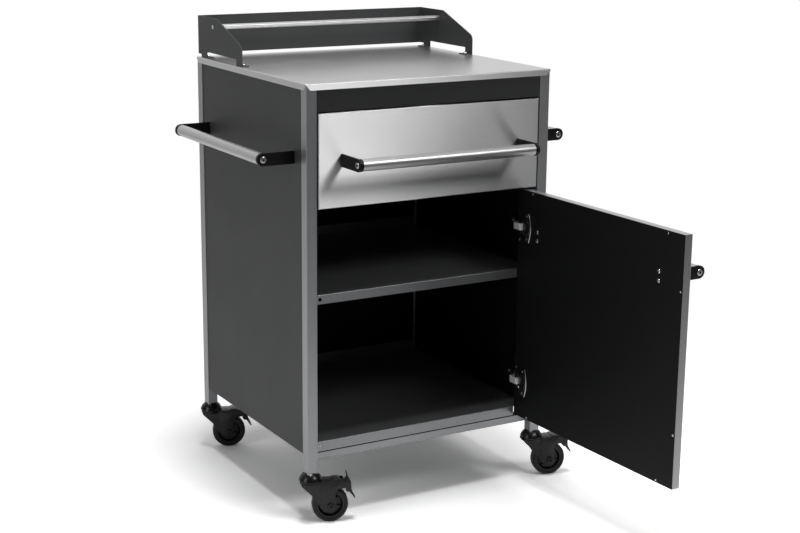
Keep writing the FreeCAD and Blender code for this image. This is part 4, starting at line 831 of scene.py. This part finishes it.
def handle_arms():
    """The two black arms of a handle, each with its collar for the tube."""
    shape = bmesh.new()
    nose = -STANDOFF - ARM_HALF
    outline = rounded_outline([(0.0, -ARM_HALF, 0.0004), (nose, -ARM_HALF, ARM_NOSE),
                               (nose, ARM_HALF, ARM_NOSE), (0.0, ARM_HALF, 0.0004)], 14)
    inner = ARM_OUTER - ARM_THICK
    collar = [(inner - depth, radius) for depth, radius in COLLAR]
    for side in (-1, 1):
        add_prism(shape, outline, "YZ", side * inner, side * ARM_OUTER, soft=0.0007, steps=3)
        add_lathe(shape, collar, (0, -STANDOFF, 0), (side, 0, 0), steps=64)
    return shape


def door_place():
    """Turns a door piece from closed to its open rest angle."""
    turn = Matrix.Rotation(math.radians(DOOR_OPEN_ANGLE), 4, "Z")
    return Matrix.Translation(DOOR_PIVOT) @ turn @ Matrix.Translation(-DOOR_PIVOT)


def side_handle_place(side):
    return (Matrix.Translation((side * SIDE_FACE, 0, SIDE_HANDLE_Z))
            @ Matrix.Rotation(side * math.radians(90), 4, "Z"))


def make_handles():
    grips = grip_rule("bar_grip", GRIP_METAL)
    screws = screw_rule("socket_screw", BRIGHT_SCREW)
    ends = [((side * ARM_OUTER, -STANDOFF, 0), (side, 0, 0)) for side in (-1, 1)]
    handles = {  # body, first word of the arm and screw nodes, place
        "drawer": ("drawer", "drawer", Matrix.Translation((0, FRONT, DRAWER_HANDLE_Z))),
        "door": ("door", "door", door_place() @ Matrix.Translation((0, FRONT, DOOR_HANDLE_Z))),
        "left": ("cart", "side", side_handle_place(-1)),
        "right": ("cart", "side", side_handle_place(1)),
    }
    for name, (body, pair, place) in handles.items():
        make_piece(name + "_grip_arms", handle_arms(), HANDLE_PLASTIC, body,
                   [pair + "_handle_arms"], place)
        by_rule(name + "_grip", grips, [((0, -STANDOFF, 0), (0, 0, 1))], GRIP_SIZES, body,
                [name + "_handle_tube"], place)
        by_rule(name + "_grip_screws", screws, ends, GRIP_SCREW, body,
                [pair + "_handle_screws"], place)


# Concealed hinges; the door's half is drawn with the door closed

CUP_X = 0.251
FLANGE_BOW = (0.229, 0.2355, 0.033)
FLANGE_NEAR = ((0.257, -0.033), (0.269, -0.0175), (0.269, 0.0175), (0.257, 0.033))
FLANGE_THICK = 0.0014
RIM_BOW = (0.2302, 0.2367, 0.0325)
RIM_PROUD = 0.0012
RIM_RADIUS = 0.0013
ARM_RISE = 0.0075
BOWL_PROFILE = mm_points([(-19.6, 0), (-19.6, 16.8), (-18.9, 17.5), (1.2, 17.5),
                          (1.6, 17.3), (1.6, 16.7), (1.0, 16.4), (-17.8, 16.4),
                          (-18.6, 15.6), (-18.6, 0)])
PIN_PROFILE = mm_points([(-13.2, 0), (-13.2, 2.0), (13.2, 2.0), (13.2, 0)])
KNUCKLE_PROFILE = mm_points([(-7.5, 2.1), (-7.5, 3.2), (7.5, 3.2), (7.5, 2.1), (-7.5, 2.1)])
HOOK_OUTLINE = mm_points([(261.5, -279.95, 0), (238.25, -279.95, 4), (238.25, -250.95, 4),
                          (272, -250.95, 0), (272, -253.45, 0), (240.75, -253.45, 1.5),
                          (240.75, -277.45, 1.5), (261.5, -277.45, 0)])
ARM_OUTLINE = mm_points([(272, -253.45, 0), (272, -190.2, 2), (281, -190.2, 1),
                         (281, -253.45, 3)])


def bow_points(far, shoulder, half, steps=28):
    """The bowed far edge of a hinge flange, from top to bottom, as (x, z)."""
    rise = shoulder - far
    radius = (half * half + rise * rise) / (2 * rise)
    spread = math.asin(half / radius)
    points = []
    for step in range(steps + 1):
        angle = spread * (1 - 2 * step / steps)
        points.append((far + radius - radius * math.cos(angle), radius * math.sin(angle)))
    return points


def hinge_flanges():
    shape = bmesh.new()
    for z in HINGE_HEIGHTS:
        outline = [Vector((x, z + up)) for x, up in bow_points(*FLANGE_BOW) + list(FLANGE_NEAR)]
        add_prism(shape, outline, "XZ", DOOR_BACK, DOOR_BACK + FLANGE_THICK, soft=0.0003)
    return shape


def hinge_rims():
    """The rolled edge of each flange, in brighter nickel than the flange: partly the bead's own
    reflection, partly a painted highlight.
    """
    shape = bmesh.new()
    for z in HINGE_HEIGHTS:
        add_bead(shape, [Vector((x, DOOR_BACK + RIM_PROUD, z + up))
                         for x, up in bow_points(*RIM_BOW)], RIM_RADIUS)
    return shape


def hinge_bowls():
    """The cup of each hinge, sunk into the door, with the pin that the arm turns on."""
    shape = bmesh.new()
    for z in HINGE_HEIGHTS:
        add_lathe(shape, BOWL_PROFILE, (CUP_X, DOOR_BACK, z), (0, 1, 0), steps=64)
        add_lathe(shape, PIN_PROFILE, (DOOR_PIVOT.x, DOOR_PIVOT.y, z), (0, 0, 1), steps=24)
    return shape


def hinge_hooks():
    """The bent end of each arm, which reaches into the door's cup, with its knuckle."""
    shape = bmesh.new()
    for z in HINGE_HEIGHTS:
        add_prism(shape, rounded_outline(HOOK_OUTLINE), "XY", z - ARM_RISE, z + ARM_RISE,
                  soft=0.0005)
        add_lathe(shape, KNUCKLE_PROFILE, (DOOR_PIVOT.x, DOOR_PIVOT.y, z), (0, 0, 1),
                  steps=32)
    return shape


def hinge_arms():
    """The straight arm of each hinge, screwed to the plate on the cabinet wall."""
    shape = bmesh.new()
    for z in HINGE_HEIGHTS:
        add_prism(shape, rounded_outline(ARM_OUTLINE), "XY", z - ARM_RISE, z + ARM_RISE,
                  soft=0.0005)
    return shape


def make_hinges():
    for name, shape, look in (("hinge_flanges", hinge_flanges, BLACK_NICKEL),
                              ("hinge_rims", hinge_rims, NICKEL),
                              ("hinge_bowls", hinge_bowls, NICKEL)):
        make_piece(name, shape(), look, "door", ["hinge_cups"], door_place())
    for name, shape, look in (("hinge_hooks", hinge_hooks, HINGE_ZINC),
                              ("hinge_straight_arms", hinge_arms, BLACK_NICKEL)):
        make_piece(name, shape(), look, "cart", ["hinge_arms"])


# Screws, seated where the CAD has them

HINGE_SCREW_RISE = 0.026
PLATE_SCREW_X = 0.281
PLATE_SCREW_Y = -0.2152
ARM_SCREW_X = 0.272
ARM_SCREWS_Y = (-0.2002, -0.2242)
FLANGE_SCREW_X = 0.2455
FLANGE_SCREW_PROUD = 0.0015
BRACKET_SCREW_X = 0.282
BRACKET_SCREW_Y = 0.18
BRACKET_SCREW_Z = -0.4688
LINER_SCREWS = ((0.227, -0.2752), (0.227, -0.8042), (0.272, -0.3877), (0.272, -0.6917))
BACKING_SCREW_X = 0.206
BACKING_SCREW_RISE = 0.01
FOOT_BOLTS_Y = (0.0515, 0.2465)
FOOT_BOLT_Z = 0.002
ROD_SCREW_SEAT = (0.303, 0.1915, 0.0755)


def cabinet_seats():
    """The screws of the hinge plates and arms, and those of the shelf brackets."""
    seats = []
    for z in HINGE_HEIGHTS:
        seats += [((PLATE_SCREW_X, PLATE_SCREW_Y, z + up), (-1, 0, 0))
                  for up in (-HINGE_SCREW_RISE, HINGE_SCREW_RISE)]
        seats += [((ARM_SCREW_X, y, z), (-1, 0, 0)) for y in ARM_SCREWS_Y]
    for side in (-1, 1):
        seats += [((side * BRACKET_SCREW_X, y, BRACKET_SCREW_Z), (-side, 0, 0))
                  for y in (-BRACKET_SCREW_Y, BRACKET_SCREW_Y)]
    return seats


def liner_seats():
    """The eight screws around the door's inner panel, and those of the hinge flanges."""
    seats = [((side * x, DOOR_BACK, z), (0, 1, 0)) for side in (-1, 1)
             for x, z in LINER_SCREWS]
    for z in HINGE_HEIGHTS:
        seats += [((FLANGE_SCREW_X, DOOR_BACK + FLANGE_SCREW_PROUD, z + up), (0, 1, 0))
                  for up in (-HINGE_SCREW_RISE, HINGE_SCREW_RISE)]
    return seats


def backing_seats():
    """The screws that hold the blocks behind the door handle."""
    return [((side * BACKING_SCREW_X, DOOR_BACK, DOOR_HANDLE_Z + up), (0, 1, 0))
            for side in (-1, 1) for up in (-BACKING_SCREW_RISE, BACKING_SCREW_RISE)]


def make_screws():
    cross = screw_rule("cross_screw", BRIGHT_SCREW)
    plated = screw_rule("plated_screw", SHADED_SCREW)
    feet = [((side * POST_X, y, FOOT_BOLT_Z), (0, 0, 1)) for side in (-1, 1)
            for y in FOOT_BOLTS_Y]
    x, y, z = ROD_SCREW_SEAT
    rod = [((side * x, y, z), (side, 0, 0)) for side in (-1, 1)]
    # The cabinet's screws take the darker screw metal as painted shade
    by_rule("cabinet_pan_screws", plated, cabinet_seats(), MEDIUM_SCREW, "cart",
            ["cabinet_screws"])
    by_rule("liner_pan_screws", cross, liner_seats(), SMALL_SCREW, "door",
            ["door_screws"], door_place())
    by_rule("backing_pan_screws", cross, backing_seats(), MEDIUM_SCREW, "door",
            ["door_handle_screws"], door_place())
    by_rule("foot_bolts", cross, feet, FOOT_BOLT, "cart", ["upstand_bolts"])
    by_rule("rod_screws", cross, rod, ROD_SCREW, "cart", ["upstand_bolts"])


# Camera, floor and light

def set_camera():
    azimuth = math.radians(CAMERA_AZIMUTH)
    elevation = math.radians(CAMERA_ELEVATION)
    roll = math.radians(CAMERA_ROLL)
    back = Vector((math.sin(azimuth) * math.cos(elevation),
                   -math.cos(azimuth) * math.cos(elevation), math.sin(elevation)))
    right = (-back).cross(Vector((0, 0, 1))).normalized()
    up = right.cross(-back)
    across = right * math.cos(roll) + up * math.sin(roll)
    upwards = up * math.cos(roll) - right * math.sin(roll)
    data = bpy.data.cameras.new("camera")
    data.lens = CAMERA_LENS
    data.clip_end = CAMERA_REACH
    camera = bpy.data.objects.new("camera", data)
    turn = Matrix((across, upwards, back)).transposed().to_4x4()
    camera.matrix_world = Matrix.Translation(CAMERA_PLACE) @ turn
    bpy.context.collection.objects.link(camera)
    bpy.context.scene.camera = camera


def floor_look():
    """White paper that keeps the shadow and fades into the white room; to the light that
    bounces off it, its colour dims away in front of the cart as a painted pool of light.
    """
    look = Look("white_floor")
    look.tree.nodes.remove(look.shader)
    path = look.add("ShaderNodeLightPath")
    coordinates = look.add("ShaderNodeTexCoord")
    place = look.add("ShaderNodeSeparateXYZ", {"Vector": coordinates.outputs["Object"]})
    painted_light_pool = look.range(place.outputs["Y"], FLOOR_DIM, FLOOR_WHITE,
                         -FLOOR_DIM_TO, -FLOOR_DIM_FROM)
    tone = look.add("ShaderNodeMix", {"Factor": path.outputs["Is Camera Ray"], "A": painted_light_pool,
                                      "B": FLOOR_SEEN}, data_type="FLOAT")
    paper = look.blend(look.noise(EVEN, size=3.0), grey(0.99), grey(1.0))
    toned = look.add("ShaderNodeVectorMath", {0: paper, "Scale": tone.outputs["Result"]},
                     operation="SCALE")
    near = look.add("ShaderNodeBsdfDiffuse", {"Color": toned.outputs["Vector"]})
    far = look.add("ShaderNodeEmission", {"Strength": 1.0})
    reach = look.add("ShaderNodeVectorMath", {0: coordinates.outputs["Object"]},
                     operation="LENGTH")
    fade = look.add("ShaderNodeMapRange",
                    {"Value": reach.outputs["Value"], "From Min": FLOOR_FADE[0],
                     "From Max": FLOOR_FADE[1]}, interpolation_type="SMOOTHSTEP")
    share = look.math("MULTIPLY", fade.outputs["Result"], path.outputs["Is Camera Ray"])
    mix = look.add("ShaderNodeMixShader", {"Fac": share, 1: near.outputs["BSDF"],
                                           2: far.outputs["Emission"]})
    look.link(mix.outputs["Shader"], look.tree.nodes["Material Output"].inputs["Surface"])
    return look.material


def make_floor():
    bpy.ops.mesh.primitive_plane_add(size=FLOOR_SIZE, location=(0, 0, FLOOR))
    floor = bpy.context.object
    floor.name = "floor"
    floor.data.materials.append(floor_look())


def add_softbox(name, place, target, width, height, power):
    data = bpy.data.lights.new(name, "AREA")
    data.shape = "RECTANGLE"
    data.size = width
    data.size_y = height
    data.energy = power
    lamp = bpy.data.objects.new(name, data)
    lamp.location = place
    direction = Vector(target) - Vector(place)
    lamp.rotation_euler = direction.to_track_quat("-Z", "Y").to_euler()
    bpy.context.collection.objects.link(lamp)


def set_world():
    """A white room to the camera; to the cart, bright behind and dim in front."""
    world = bpy.data.worlds.new("studio")
    bpy.context.scene.world = world
    world.use_nodes = True
    world.node_tree.nodes.clear()
    room = Tree(world.node_tree)
    coordinates = room.add("ShaderNodeTexCoord")
    facing = room.add("ShaderNodeVectorMath",
                      {0: coordinates.outputs["Generated"],
                       1: Vector(ROOM_BRIGHT_SIDE).normalized()}, operation="DOT_PRODUCT")
    ramp = room.add("ShaderNodeMapRange", {"Value": facing.outputs["Value"],
                                           "From Min": ROOM_EDGE, "To Min": ROOM_DIM,
                                           "To Max": ROOM_BRIGHT})
    around = room.add("ShaderNodeBackground", {"Strength": ramp.outputs["Result"]})
    white = room.add("ShaderNodeBackground", {"Color": grey(1)})
    path = room.add("ShaderNodeLightPath")
    mix = room.add("ShaderNodeMixShader", {"Fac": path.outputs["Is Camera Ray"],
                                           1: around.outputs["Background"],
                                           2: white.outputs["Background"]})
    room.add("ShaderNodeOutputWorld", {"Surface": mix.outputs["Shader"]})


def light_the_cart():
    set_world()
    for name, lamp in LAMPS.items():
        add_softbox(name, *lamp)
    bpy.context.scene.view_settings.view_transform = "Standard"


dress_nodes()
# The worktop's front faces get the drawer's steel, whose gloss smears across its scratches; its
# lighter tone is painted light on the side that faces the front lamps
dress_side("worktop", (0, -1, 0), DRAWER_STEEL, 0.9)
# The rail's top and its rounding lie in the seam under the bottom shelf; the black liner paint
# on them is painted shade that makes the seam dark
dress_side("front_bottom_rail", (0, 0, 1), LINER_PAINT, 0.3)
set_camera()
make_floor()
light_the_cart()
make_casters()
make_handles()
make_hinges()
make_screws()
